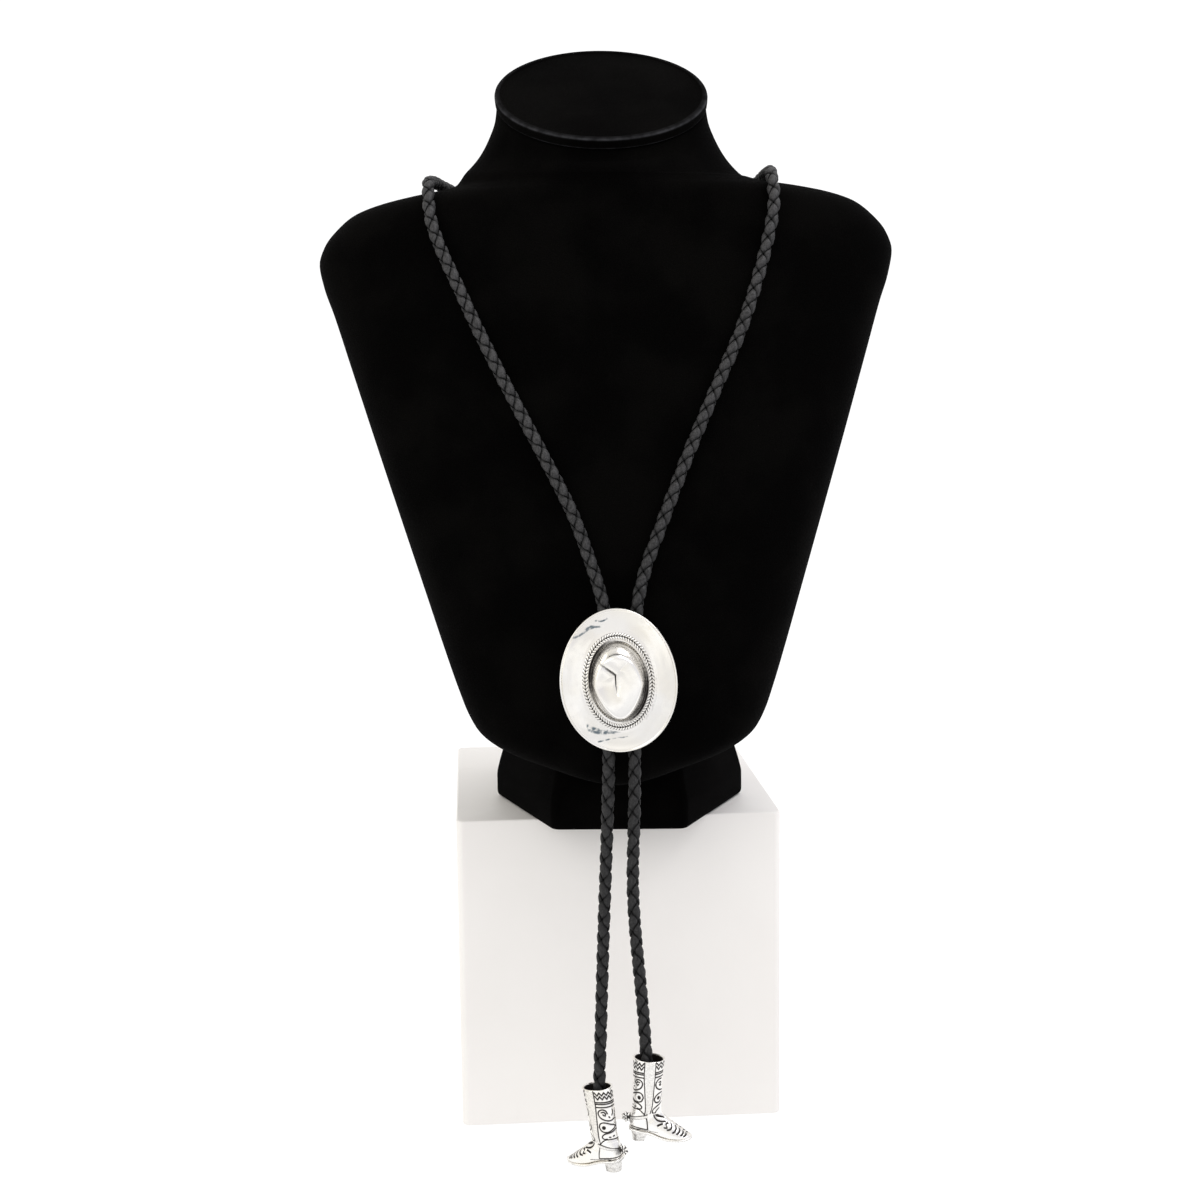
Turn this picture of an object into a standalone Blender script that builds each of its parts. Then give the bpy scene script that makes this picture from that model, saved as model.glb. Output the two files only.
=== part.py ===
"""A bolo tie with a hat slide and boot tips, worn on a plain neck bust that stands on a plain box.

Units are metres, +Z is up and the bust faces -Y. The origin is on the floor, below the bust's
centre line and level with the middle of the box.
"""

import math

import bmesh
import bpy
import numpy as np
from mathutils import Matrix, Vector
from mathutils.geometry import interpolate_bezier

# Clearance between touching pieces
GAP = 0.0003

# Box that the bust stands on
BOX_WIDTH = 0.129
BOX_DEPTH = 0.136
BOX_HEIGHT = 0.126
BOX_CORNER = 0.003
BOX_EDGE = 0.0006
BOX_TURN = 4.7
BOX_OFFSET_X = -0.0055

# Bust: torso and neck in one, on a six-sided foot, under a tilted neck cap
BUST_HEIGHT = 0.302
BUST_WIDTH = 0.2245
BUST_DEPTH = 0.117
BUST_BACK_Y = 0.003
BUST_LEAN = 0.9
SHOULDER_TILT = 1.0
SHOULDER_LEVEL = 0.8
BUST_POINTS = 44
FOOT_WIDTH = 0.102
FOOT_DEPTH = 0.118
FOOT_FRONT_Y = -0.0899
FOOT_FRONT_WIDTH = 0.0512
FOOT_BAND = 0.011
FOOT_RISE = 0.036
FOOT_TAPER = 0.79
FOOT_EDGE = 0.0015
CAP_THICKNESS = 0.0049

# Braided cord
CORD_DIAMETER = 0.005
CORD_STEPS = 78

# Hat slide
SLIDE_WIDTH = 0.0421
SLIDE_HEIGHT = 0.0528
SLIDE_WALL = 0.0013
SLIDE_X = 0.0003
SLIDE_LEVEL = 0.0649
SLIDE_ROLL = 4.0
CROWN_HEIGHT = 0.0092
BRIM_CURL = 0.0030
BAND_LUMPS = 28
LUMP_HEIGHT = 0.00023
SEAT_CURL = 0.18
CROWN_NARROWING = 0.34
CREASE_DEPTH = 0.0016
CREASE_WIDTH = 0.0022

# Clasp behind the slide
CLASP_X = 0.0013
CLASP_WALL = 0.0008
CLASP_LENGTH = 0.012
CLASP_PLATE_WIDTH = 0.014
CLASP_PLATE_HEIGHT = 0.031
CLASP_PLATE_THICKNESS = 0.0012
CORD_SPACING = 0.0096
CLASP_CLEARANCE = 0.0006
CLASP_SIDES = 20

# Boot tips
BOOT_HEIGHT = 0.0326
BOOT_LENGTH = 0.0236
BOOT_SHAFT = 0.0118
BOOT_THICKNESS = 0.0094
BOOT_WALL = 0.0009
BOOT_MOUTH_DEPTH = 0.0035
BOOT_SOCKET_DEPTH = 0.0090
BOOT_SOCKET_PLACE = 0.347
BOOT_RELIEF = 0.00025
BOOT_STRIPE = 0.37
BOOT_STRIPE_PLACE = 0.22
BOOT_POINTS = 24
ARCH_POINTS = 11
ARCH_FULLNESS = 0.8
HEEL_LENGTH = 0.0058
HEEL_WIDTH = 0.0066
HEEL_TAPER = 0.86
SOLE_EDGE = 0.0009
SOLE_LIP = 0.0004
SPUR_ROD = 0.0011
SPUR_REACH = 0.0032
SPUR_HEIGHT = 0.0084
ROWEL_RADIUS = 0.0018
ROWEL_THICKNESS = 0.0009
ROWEL_POINTS = 6
BOOT_LEFT_TURN = 152.0
BOOT_RIGHT_TURN = -12.0
BOOT_LEAN = 2.6

# Torso and neck, from the lower lip up to the neck's top. Every length is a share of the bust's
# height, half width or depth; pitch is in degrees, and fullness is the oval's exponent.
TORSO_COLUMNS = ("height", "half_width", "front", "back", "pitch", "fullness")
TORSO_TABLE = (
    (0.0712, 0.036, 0.915, 0.812, 0, 2.4),
    (0.0762, 0.116, 0.940, 0.727, 0, 2.4),
    (0.0894, 0.241, 0.966, 0.590, 0, 2.4),
    (0.1060, 0.383, 0.983, 0.436, 0, 2.4),
    (0.1258, 0.468, 0.996, 0.350, 0, 2.4),
    (0.1490, 0.508, 1.000, 0.299, 0, 2.4),
    (0.1788, 0.539, 1.000, 0.265, 0, 2.4),
    (0.2285, 0.584, 0.991, 0.222, 0, 2.4),
    (0.2947, 0.641, 0.970, 0.171, 0, 2.4),
    (0.3940, 0.726, 0.932, 0.111, 0, 2.4),
    (0.4934, 0.811, 0.880, 0.060, 0, 2.4),
    (0.5927, 0.894, 0.821, 0.026, 0, 2.4),
    (0.6589, 0.949, 0.778, 0.009, 0, 2.4),
    (0.6954, 0.983, 0.748, 0.000, 0, 2.4),
    (0.7252, 0.998, 0.722, 0.000, 0, 2.4),
    (0.7483, 0.978, 0.705, 0.004, 0, 2.4),
    (0.7715, 0.927, 0.688, 0.009, 0, 2.4),
    (0.7881, 0.869, 0.679, 0.017, 0, 2.3),
    (0.7997, 0.784, 0.675, 0.026, 0, 2.2),
    (0.8079, 0.686, 0.671, 0.034, 0, 2.1),
    (0.8146, 0.583, 0.668, 0.043, 0, 2.0),
    (0.8205, 0.517, 0.667, 0.034, 0, 2.0),
    (0.8344, 0.472, 0.669, 0.037, 5, 2.0),
    (0.8543, 0.424, 0.669, 0.045, 12, 2.0),
    (0.8775, 0.388, 0.668, 0.053, 21, 2.0),
    (0.8974, 0.367, 0.670, 0.058, 29, 2.0),
    (0.9195, 0.358, 0.671, 0.064, 35, 2.0),
)

# Neck cap, from its underside up: share of the neck's top outline, and share of its thickness
CAP_COLUMNS = ("outline", "level")
CAP_TABLE = (
    (0.985, 0.00),
    (1.012, 0.14),
    (1.018, 0.80),
    (1.004, 0.97),
    (0.975, 1.00),
    (0.950, 0.90),
    (0.600, 0.98),
    (0.150, 1.00),
)

# Hat, from the brim's edge in to the crown's top. Widths and heights are shares of the slide's,
# rise of the crown's height, curl of the brim's curl and shift of the slide's height. The last two
# are 1 on rings that take the band's lumps, and on those that the crown's narrowing and pinch reach.
HAT_COLUMNS = ("width", "height", "rise", "curl", "shift", "lumps", "crown")
HAT_TABLE = (
    (1.000, 1.000, 0.10, 1.00, 0.000, 0, 0),
    (0.900, 0.915, 0.03, 0.72, 0.000, 0, 0),
    (0.770, 0.810, 0.00, 0.42, 0.000, 0, 0),
    (0.655, 0.710, 0.00, 0.24, 0.000, 0, 0),
    (0.605, 0.665, 0.04, 0.18, 0.000, 0, 0),
    (0.570, 0.632, 0.19, 0.14, 0.000, 1, 0),
    (0.525, 0.592, 0.19, 0.12, 0.000, 1, 0),
    (0.490, 0.560, 0.05, 0.10, 0.000, 0, 0),
    (0.462, 0.528, 0.07, 0.08, 0.002, 0, 0),
    (0.425, 0.495, 0.45, 0.03, 0.004, 0, 1),
    (0.385, 0.455, 0.82, 0.00, 0.006, 0, 1),
    (0.330, 0.395, 0.97, 0.00, 0.008, 0, 1),
    (0.240, 0.290, 1.00, 0.00, 0.010, 0, 1),
    (0.150, 0.180, 0.99, 0.00, 0.010, 0, 1),
    (0.060, 0.070, 0.98, 0.00, 0.010, 0, 1),
)

# The crown's pinch: where each fold ends, as shares of the slide's half width and half height
CREASE_FORK = (-0.04, 0.15)
CREASE_ENDS = ((-0.05, -0.10), (-0.33, 0.34), (0.25, 0.36))

# Boot shaft, from the foot up: height and shares of the shaft's length and thickness, the place
# of the ring's middle as a share of the boot's length, and how much raised relief it takes
SHAFT_COLUMNS = ("height", "length", "thickness", "middle", "relief")
SHAFT_TABLE = (
    (0.20, 0.80, 0.66, 0.290, 0),
    (0.30, 0.92, 0.80, 0.304, 0),
    (0.42, 0.93, 0.84, 0.317, 0),
    (0.60, 0.94, 0.90, 0.337, 0),
    (0.80, 0.97, 0.96, 0.362, 0),
    (0.81, 0.97, 0.96, 0.363, 1),
    (0.84, 0.98, 0.97, 0.367, 1),
    (0.85, 0.98, 0.97, 0.369, 0),
    (0.90, 0.99, 0.98, 0.376, 0),
    (0.91, 1.00, 0.98, 0.377, 1),
    (1.00, 1.02, 1.00, 0.390, 1),
)

# Boot foot, from the heel to the toe: place along the boot, sole's height, top and half width,
# as shares of the boot's length, height, height and thickness
FOOT_COLUMNS = ("place", "sole", "top", "half_width")
BOOT_FOOT_TABLE = (
    (0.030, 0.135, 0.270, 0.24),
    (0.110, 0.125, 0.380, 0.37),
    (0.250, 0.110, 0.390, 0.41),
    (0.420, 0.075, 0.370, 0.40),
    (0.570, 0.035, 0.295, 0.41),
    (0.700, 0.022, 0.220, 0.44),
    (0.830, 0.020, 0.150, 0.41),
    (0.930, 0.022, 0.095, 0.30),
    (0.990, 0.026, 0.065, 0.13),
)

# Route of the cord's middle, from the left boot up round the neck and down to the right boot
CORD_ROUTE = (
    (-0.0080, -0.1182, 0.0273),
    (-0.0084, -0.1182, 0.0360),
    (-0.0077, -0.1182, 0.0560),
    (-0.0063, -0.1182, 0.0930),
    (-0.0038, -0.1182, 0.1520),
    (-0.0035, -0.1182, 0.1800),
    (-0.0035, -0.1182, 0.2020),
    (-0.0052, -0.1158, 0.2180),
    (-0.0111, -0.1102, 0.2369),
    (-0.0175, -0.1070, 0.2532),
    (-0.0448, -0.0935, 0.3055),
    (-0.0571, -0.0855, 0.3311),
    (-0.0675, -0.0766, 0.3549),
    (-0.0701, -0.0655, 0.3707),
    (-0.0700, -0.0480, 0.3742),
    (-0.0682, -0.0320, 0.3741),
    (-0.0647, -0.0160, 0.3728),
    (-0.0573, -0.0022, 0.3664),
    (-0.0364, 0.0042, 0.3559),
    (-0.0030, 0.0055, 0.3519),
    (0.0300, 0.0042, 0.3569),
    (0.0506, -0.0025, 0.3688),
    (0.0580, -0.0180, 0.3752),
    (0.0602, -0.0480, 0.3763),
    (0.0600, -0.0655, 0.3734),
    (0.0600, -0.0752, 0.3616),
    (0.0559, -0.0814, 0.3431),
    (0.0471, -0.0900, 0.3166),
    (0.0368, -0.0964, 0.2937),
    (0.0254, -0.1033, 0.2678),
    (0.0152, -0.1091, 0.2421),
    (0.0107, -0.1112, 0.2302),
    (0.0076, -0.1150, 0.2180),
    (0.0061, -0.1182, 0.2020),
    (0.0061, -0.1182, 0.1800),
    (0.0057, -0.1182, 0.1450),
    (0.0049, -0.1182, 0.1080),
    (0.0082, -0.1182, 0.0640),
    (0.0092, -0.1182, 0.0473),
    (0.0096, -0.1182, 0.0386),
)

# Colours, roughness and metallic values
VELVET = ("velvet", (0.004, 0.004, 0.005), 0.95, 0.0)
PAINT = ("box_paint", (0.86, 0.84, 0.83), 0.55, 0.0)
LEATHER = ("braided_leather", (0.018, 0.018, 0.020), 0.6, 0.0)
SILVER = ("antique_silver", (0.78, 0.76, 0.72), 0.28, 1.0)


def clear_scene():
    """Remove every object that is in the scene."""
    for obj in list(bpy.data.objects):
        bpy.data.objects.remove(obj, do_unlink=True)


def new_collection(name):
    """Make a collection of that name under the scene's own."""
    collection = bpy.data.collections.new(name)
    bpy.context.scene.collection.children.link(collection)
    return collection


def material(finish):
    """Make or find the Principled material of a finish row."""
    name, colour, roughness, metallic = finish
    found = bpy.data.materials.get(name)
    if found:
        return found
    made = bpy.data.materials.new(name)
    made.use_nodes = True
    shader = made.node_tree.nodes["Principled BSDF"]
    shader.inputs["Base Color"].default_value = (*colour, 1.0)
    shader.inputs["Roughness"].default_value = roughness
    shader.inputs["Metallic"].default_value = metallic
    return made


def rows(columns, table):
    """Read a table as one dictionary for each row."""
    return [dict(zip(columns, row)) for row in table]


def add_object(name, mesh, collection, finish=None):
    """Put a mesh in a collection as an object, with its material."""
    obj = bpy.data.objects.new(name, mesh)
    collection.objects.link(obj)
    if finish:
        mesh.materials.append(material(finish))
    return obj


def loft_mesh(name, rings):
    """Join rings of equally many points, with a flat face over each end."""
    rings = np.asarray(rings, dtype=float)
    count, around = rings.shape[:2]
    index = np.arange(count * around).reshape(count, around)
    low, high = index[:-1], index[1:]
    quads = np.stack((low, np.roll(low, -1, 1), np.roll(high, -1, 1), high), axis=-1).reshape(-1, 4)
    faces = [tuple(index[0][::-1]), *map(tuple, quads.tolist()), tuple(index[-1])]
    mesh = bpy.data.meshes.new(name)
    mesh.from_pydata(rings.reshape(-1, 3).tolist(), [], faces)
    shell = bmesh.new()
    shell.from_mesh(mesh)
    bmesh.ops.recalc_face_normals(shell, faces=shell.faces)
    shell.to_mesh(mesh)
    shell.free()
    mesh.update()
    return mesh


def smooth(mesh, angle=40.0):
    """Shade a mesh smooth, but sharp at edges steeper than the angle."""
    mesh.shade_smooth()
    mesh.set_sharp_from_angle(angle=math.radians(angle))


def apply_boolean(obj, cutter, operation):
    """Cut or join an object with a cutter at once, and remove the cutter."""
    modifier = obj.modifiers.new(operation.lower(), "BOOLEAN")
    modifier.operation = operation
    modifier.solver = "EXACT"
    modifier.object = cutter
    graph = bpy.context.evaluated_depsgraph_get()
    result = bpy.data.meshes.new_from_object(obj.evaluated_get(graph), depsgraph=graph)
    obj.modifiers.clear()
    obj.data = result
    bpy.data.objects.remove(cutter, do_unlink=True)


def cylinder_mesh(name, radius, length, sides, place, turn=None):
    """Make a cylinder about its middle, turned first and then moved to its place."""
    shape = bmesh.new()
    matrix = Matrix.Translation(place) @ (turn or Matrix.Identity(4))
    bmesh.ops.create_cone(shape, cap_ends=True, segments=sides, radius1=radius, radius2=radius,
                          depth=length, matrix=matrix)
    mesh = bpy.data.meshes.new(name)
    shape.to_mesh(mesh)
    shape.free()
    return mesh


def box_mesh(name, size, place):
    """Make a box of a size about a place."""
    shape = bmesh.new()
    matrix = Matrix.Translation(place) @ Matrix.Diagonal((*size, 1.0))
    bmesh.ops.create_cube(shape, size=1.0, matrix=matrix)
    mesh = bpy.data.meshes.new(name)
    shape.to_mesh(mesh)
    shape.free()
    return mesh


def make_box(parts):
    """The plain box: upright edges rounded, the others just broken."""
    shape = bmesh.new()
    size = Matrix.Diagonal((BOX_WIDTH, BOX_DEPTH, BOX_HEIGHT, 1.0))
    bmesh.ops.create_cube(shape, size=1.0, matrix=size)
    upright = [e for e in shape.edges if abs(e.verts[0].co.z - e.verts[1].co.z) > BOX_HEIGHT / 2]
    bmesh.ops.bevel(shape, geom=upright, offset=BOX_CORNER, segments=4, profile=0.5, affect="EDGES")
    mesh = bpy.data.meshes.new("display_box")
    shape.to_mesh(mesh)
    shape.free()
    box = add_object("display_box", mesh, parts, PAINT)
    box.location = (BOX_OFFSET_X, 0.0, BOX_HEIGHT / 2)
    box.rotation_euler = (0.0, 0.0, math.radians(BOX_TURN))
    edge = box.modifiers.new("broken_edges", "BEVEL")
    edge.width = BOX_EDGE
    edge.segments = 2
    edge.limit_method = "ANGLE"
    edge.angle_limit = math.radians(60.0)
    return box


def torso_ring(row, grow=0.0):
    """One section of the bust: an oval in a plane that pitches forward towards the neck's top."""
    angle = np.linspace(0.0, 2.0 * math.pi, BUST_POINTS, endpoint=False)
    half_width = row["half_width"] * BUST_WIDTH / 2 + grow
    front = row["front"] * BUST_DEPTH
    back = row["back"] * BUST_DEPTH
    half_depth = (front - back) / 2 + grow
    pitch = math.radians(row["pitch"])
    power = 2.0 / row["fullness"]
    across = half_width * np.sign(np.cos(angle)) * np.abs(np.cos(angle)) ** power
    along = half_depth * np.sign(np.sin(angle)) * np.abs(np.sin(angle)) ** power
    level = row["height"] * BUST_HEIGHT
    middle = BUST_BACK_Y - (front + back) / 2
    lean = math.tan(math.radians(BUST_LEAN))
    tilt = math.tan(math.radians(SHOULDER_TILT)) * (1.0 if row["pitch"] == 0 else -1.0)
    tilt *= min(1.0, row["height"] / SHOULDER_LEVEL)
    x = across - lean * level
    y = middle + along * math.cos(pitch)
    z = BOX_HEIGHT + level + along * math.sin(pitch) + tilt * across
    return np.stack((x, y, z), axis=-1)


def make_torso(parts):
    """Torso and neck: one loft from the lower lip to the neck's top."""
    table = rows(TORSO_COLUMNS, TORSO_TABLE)
    mesh = loft_mesh("bust_torso", [torso_ring(row) for row in table])
    smooth(mesh)
    return add_object("bust_torso", mesh, parts, VELVET)


def make_foot(parts, cutters):
    """The six-sided foot: an upright band, then sloping sides up to a seat for the torso."""
    half, front_half = FOOT_WIDTH / 2, FOOT_FRONT_WIDTH / 2
    middle = FOOT_FRONT_Y + FOOT_DEPTH / 2
    outline = np.array((
        (-front_half, -FOOT_DEPTH / 2), (front_half, -FOOT_DEPTH / 2), (half, 0.0),
        (front_half, FOOT_DEPTH / 2), (-front_half, FOOT_DEPTH / 2), (-half, 0.0),
    ))
    levels = ((1.0, 0.0), (1.0, FOOT_BAND), (FOOT_TAPER, FOOT_BAND + FOOT_RISE))
    floor = BOX_HEIGHT + GAP
    rings = [[(x * s, middle + y * s, floor + level) for x, y in outline] for s, level in levels]
    foot = add_object("bust_foot", loft_mesh("bust_foot", rings), parts, VELVET)
    edges = foot.modifiers.new("soft_edges", "BEVEL")
    edges.width = FOOT_EDGE
    edges.segments = 2
    edges.limit_method = "ANGLE"
    edges.angle_limit = math.radians(15.0)
    table = rows(TORSO_COLUMNS, TORSO_TABLE)
    hollow = [torso_ring(row, GAP) - (0.0, 0.0, GAP) for row in table]
    cutter = add_object("torso_seat", loft_mesh("torso_seat", hollow), cutters)
    cutter.hide_render = True
    cutter.display_type = "WIRE"
    seat = foot.modifiers.new("seat", "BOOLEAN")
    seat.operation = "DIFFERENCE"
    seat.solver = "EXACT"
    seat.object = cutter
    return foot


def make_cap(parts):
    """The oval neck cap, on the neck's tilted top."""
    top = rows(TORSO_COLUMNS, TORSO_TABLE)[-1]
    outline = torso_ring(top)
    centre = outline.mean(axis=0)
    pitch = math.radians(top["pitch"])
    normal = np.array((0.0, -math.sin(pitch), math.cos(pitch)))
    rings = []
    for row in rows(CAP_COLUMNS, CAP_TABLE):
        lift = normal * (GAP + row["level"] * CAP_THICKNESS)
        rings.append(centre + (outline - centre) * row["outline"] + lift)
    mesh = loft_mesh("neck_cap", rings)
    smooth(mesh, 35.0)
    return add_object("neck_cap", mesh, parts, VELVET)


def curve_through(points, count):
    """Read equally spaced points from a smooth curve through the given ones."""
    points = [Vector(p) for p in points]
    padded = [points[0] * 2 - points[1], *points, points[-1] * 2 - points[-2]]
    dense = []
    for before, start, end, after in zip(padded, padded[1:], padded[2:], padded[3:]):
        reach = (end - start).length / 3
        out = (end - before).normalized() * reach
        back = (after - start).normalized() * reach
        dense += interpolate_bezier(start, start + out, end - back, end, 25)[:-1]
    dense = np.array([*dense, points[-1]])
    travel = np.concatenate(([0.0], np.cumsum(np.linalg.norm(np.diff(dense, axis=0), axis=1))))
    wanted = np.linspace(0.0, travel[-1], count)
    return np.stack([np.interp(wanted, travel, dense[:, i]) for i in range(3)], axis=-1)


def make_cord(parts):
    """The cord: one tube from boot to boot."""
    curve = bpy.data.curves.new("cord", "CURVE")
    curve.dimensions = "3D"
    curve.bevel_depth = CORD_DIAMETER / 2
    curve.bevel_resolution = 2
    curve.use_fill_caps = True
    path = curve_through(CORD_ROUTE, CORD_STEPS)
    spline = curve.splines.new("POLY")
    spline.points.add(CORD_STEPS - 1)
    for point, place in zip(spline.points, path):
        point.co = (*place, 1.0)
    curve.materials.append(material(LEATHER))
    cord = bpy.data.objects.new("cord", curve)
    parts.objects.link(cord)
    return cord


def crease(across, up):
    """Depth of the crown's Y-shaped pinch: an upright fold with two arms from its upper end."""
    half = np.array((SLIDE_WIDTH, SLIDE_HEIGHT)) / 2
    fork = CREASE_FORK * half
    depth = np.zeros_like(across)
    for end in CREASE_ENDS:
        run = end * half - fork
        share = ((across - fork[0]) * run[0] + (up - fork[1]) * run[1]) / (run @ run)
        share = np.clip(share, 0.0, 1.0)
        aside = np.hypot(across - fork[0] - share * run[0], up - fork[1] - share * run[1])
        depth = np.maximum(depth, np.clip(1.0 - aside / CREASE_WIDTH, 0.0, 1.0))
    return depth * CREASE_DEPTH


def make_slide(parts):
    """The hat slide: a thin cast shell, open behind, seen from above its crown."""
    around = 2 * BAND_LUMPS
    angle = np.linspace(0.0, 2.0 * math.pi, around, endpoint=False)
    lump = np.where(np.arange(around) % 2 == 0, 1.0, -1.0)
    rings = []
    for row in rows(HAT_COLUMNS, HAT_TABLE):
        across = row["width"] * SLIDE_WIDTH / 2 * np.cos(angle)
        up = row["height"] * SLIDE_HEIGHT / 2 * np.sin(angle) + row["shift"] * SLIDE_HEIGHT
        narrow = 1.0 + CROWN_NARROWING * row["crown"] * row["rise"] * np.minimum(0.0, np.sin(angle))
        rise = row["rise"] * CROWN_HEIGHT + row["curl"] * BRIM_CURL * np.cos(2.0 * angle)
        rise = rise + LUMP_HEIGHT * row["lumps"] * lump - crease(across, up) * row["crown"]
        rings.append(np.stack((across * narrow, -rise, up), axis=-1))
    rings = np.array(rings)
    count = len(rings)
    index = np.arange(count * around).reshape(count, around)
    low, high = index[:-1], index[1:]
    quads = np.stack((low, np.roll(low, -1, 1), np.roll(high, -1, 1), high), axis=-1).reshape(-1, 4)
    faces = [*map(tuple, quads.tolist()), tuple(index[-1])]
    mesh = bpy.data.meshes.new("hat_slide")
    mesh.from_pydata(rings.reshape(-1, 3).tolist(), [], faces)
    smooth(mesh, 35.0)
    slide = add_object("hat_slide", mesh, parts, SILVER)
    slide.location = (SLIDE_X, brim_plane(), BOX_HEIGHT + SLIDE_LEVEL)
    slide.rotation_euler = (0.0, math.radians(-SLIDE_ROLL), 0.0)
    wall = slide.modifiers.new("wall", "SOLIDIFY")
    wall.thickness = SLIDE_WALL
    wall.offset = -1.0
    return slide


def cord_plane():
    """Where the cord's middle runs behind the slide, clear of the chest by the clasp's tube."""
    chest = BUST_BACK_Y - BUST_DEPTH
    return chest - CLASP_CLEARANCE - CLASP_WALL - GAP - CORD_DIAMETER / 2


def plate_front():
    """How far forward the clasp's plate reaches."""
    return cord_plane() - CORD_DIAMETER / 2 - GAP - CLASP_PLATE_THICKNESS


def brim_plane():
    """Where the brim lies so that its dipped ends just clear the plate and the cords."""
    edge = rows(HAT_COLUMNS, HAT_TABLE)[0]
    by_plate = plate_front() - SEAT_CURL * BRIM_CURL
    by_cord = cord_plane() - CORD_DIAMETER / 2 - edge["curl"] * BRIM_CURL + edge["rise"] * CROWN_HEIGHT
    return min(by_plate, by_cord) - GAP - SLIDE_WALL


def make_clasp(parts, cutters):
    """The clasp: a plate with two tubes that the cord runs through."""
    bore = CORD_DIAMETER / 2 + GAP
    middle = plate_front() + CLASP_PLATE_THICKNESS / 2
    plate = box_mesh("slide_clasp", (CLASP_PLATE_WIDTH, CLASP_PLATE_THICKNESS, CLASP_PLATE_HEIGHT),
                     (CLASP_X, middle, BOX_HEIGHT + SLIDE_LEVEL))
    clasp = add_object("slide_clasp", plate, parts, SILVER)
    places = [Vector((CLASP_X + side * CORD_SPACING / 2, cord_plane(), BOX_HEIGHT + SLIDE_LEVEL))
              for side in (-1, 1)]
    for place in places:
        tube = cylinder_mesh("tube", bore + CLASP_WALL, CLASP_LENGTH, CLASP_SIDES, place)
        apply_boolean(clasp, add_object("tube", tube, cutters), "UNION")
    for place in places:
        hole = cylinder_mesh("hole", bore, 2 * CLASP_PLATE_HEIGHT, CLASP_SIDES, place)
        apply_boolean(clasp, add_object("hole", hole, cutters), "DIFFERENCE")
    clasp.data.materials.clear()
    clasp.data.materials.append(material(SILVER))
    return clasp


def shaft_ring(row):
    """One section of a boot's shaft, with the side stripe and the bands raised."""
    angle = np.linspace(0.0, 2.0 * math.pi, BOOT_POINTS, endpoint=False)
    stripe = (np.abs(np.cos(angle) - BOOT_STRIPE_PLACE) < BOOT_STRIPE) * 1.0
    proud = BOOT_RELIEF * np.maximum(row["relief"], stripe)
    along = (row["length"] * BOOT_SHAFT / 2 + proud) * np.cos(angle)
    aside = (row["thickness"] * BOOT_THICKNESS / 2 + proud) * np.sin(angle)
    middle = row["middle"] * BOOT_LENGTH
    height = np.full_like(angle, row["height"] * BOOT_HEIGHT)
    return np.stack((middle + along, aside, height), axis=-1)


def foot_ring(row):
    """One upright section of a boot's foot: a flat sole with a lip, under an arch."""
    half = row["half_width"] * BOOT_THICKNESS
    sole = row["sole"] * BOOT_HEIGHT
    top = row["top"] * BOOT_HEIGHT
    edge = sole + SOLE_EDGE
    arch = np.linspace(0.0, math.pi, ARCH_POINTS)
    across = half * np.cos(arch)
    high = edge + (top - edge) * np.sin(arch) ** ARCH_FULLNESS
    wide = half + SOLE_LIP
    aside = np.concatenate(([wide, wide], across, [-wide, -wide]))
    height = np.concatenate(([sole, edge], high, [edge, sole]))
    place = np.full_like(aside, row["place"] * BOOT_LENGTH)
    return np.stack((place, aside, height), axis=-1)


def heel_ring(back, level, share):
    """One level section of a boot's heel: round behind and straight in front."""
    half = HEEL_WIDTH / 2
    turn = np.linspace(-math.pi / 2, math.pi / 2, 9)
    along = np.concatenate((-half * np.cos(turn) + half, [HEEL_LENGTH, HEEL_LENGTH]))
    aside = np.concatenate((half * np.sin(turn), [half, -half]))
    place = back + HEEL_LENGTH + (along - HEEL_LENGTH) * share
    return np.stack((place, aside * share, np.full_like(aside, level)), axis=-1)


def rowel_mesh(name, place):
    """A star of few points about an axis across the boot."""
    angle = np.linspace(0.0, 2.0 * math.pi, 2 * ROWEL_POINTS, endpoint=False)
    radius = np.where(np.arange(2 * ROWEL_POINTS) % 2 == 0, ROWEL_RADIUS, ROWEL_RADIUS / 2)
    star = [radius * np.cos(angle), np.zeros_like(angle), radius * np.sin(angle)]
    star = np.stack(star, axis=-1) + np.array(place)
    half = np.array((0.0, ROWEL_THICKNESS / 2, 0.0))
    return loft_mesh(name, [star - half, star + half])


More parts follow.
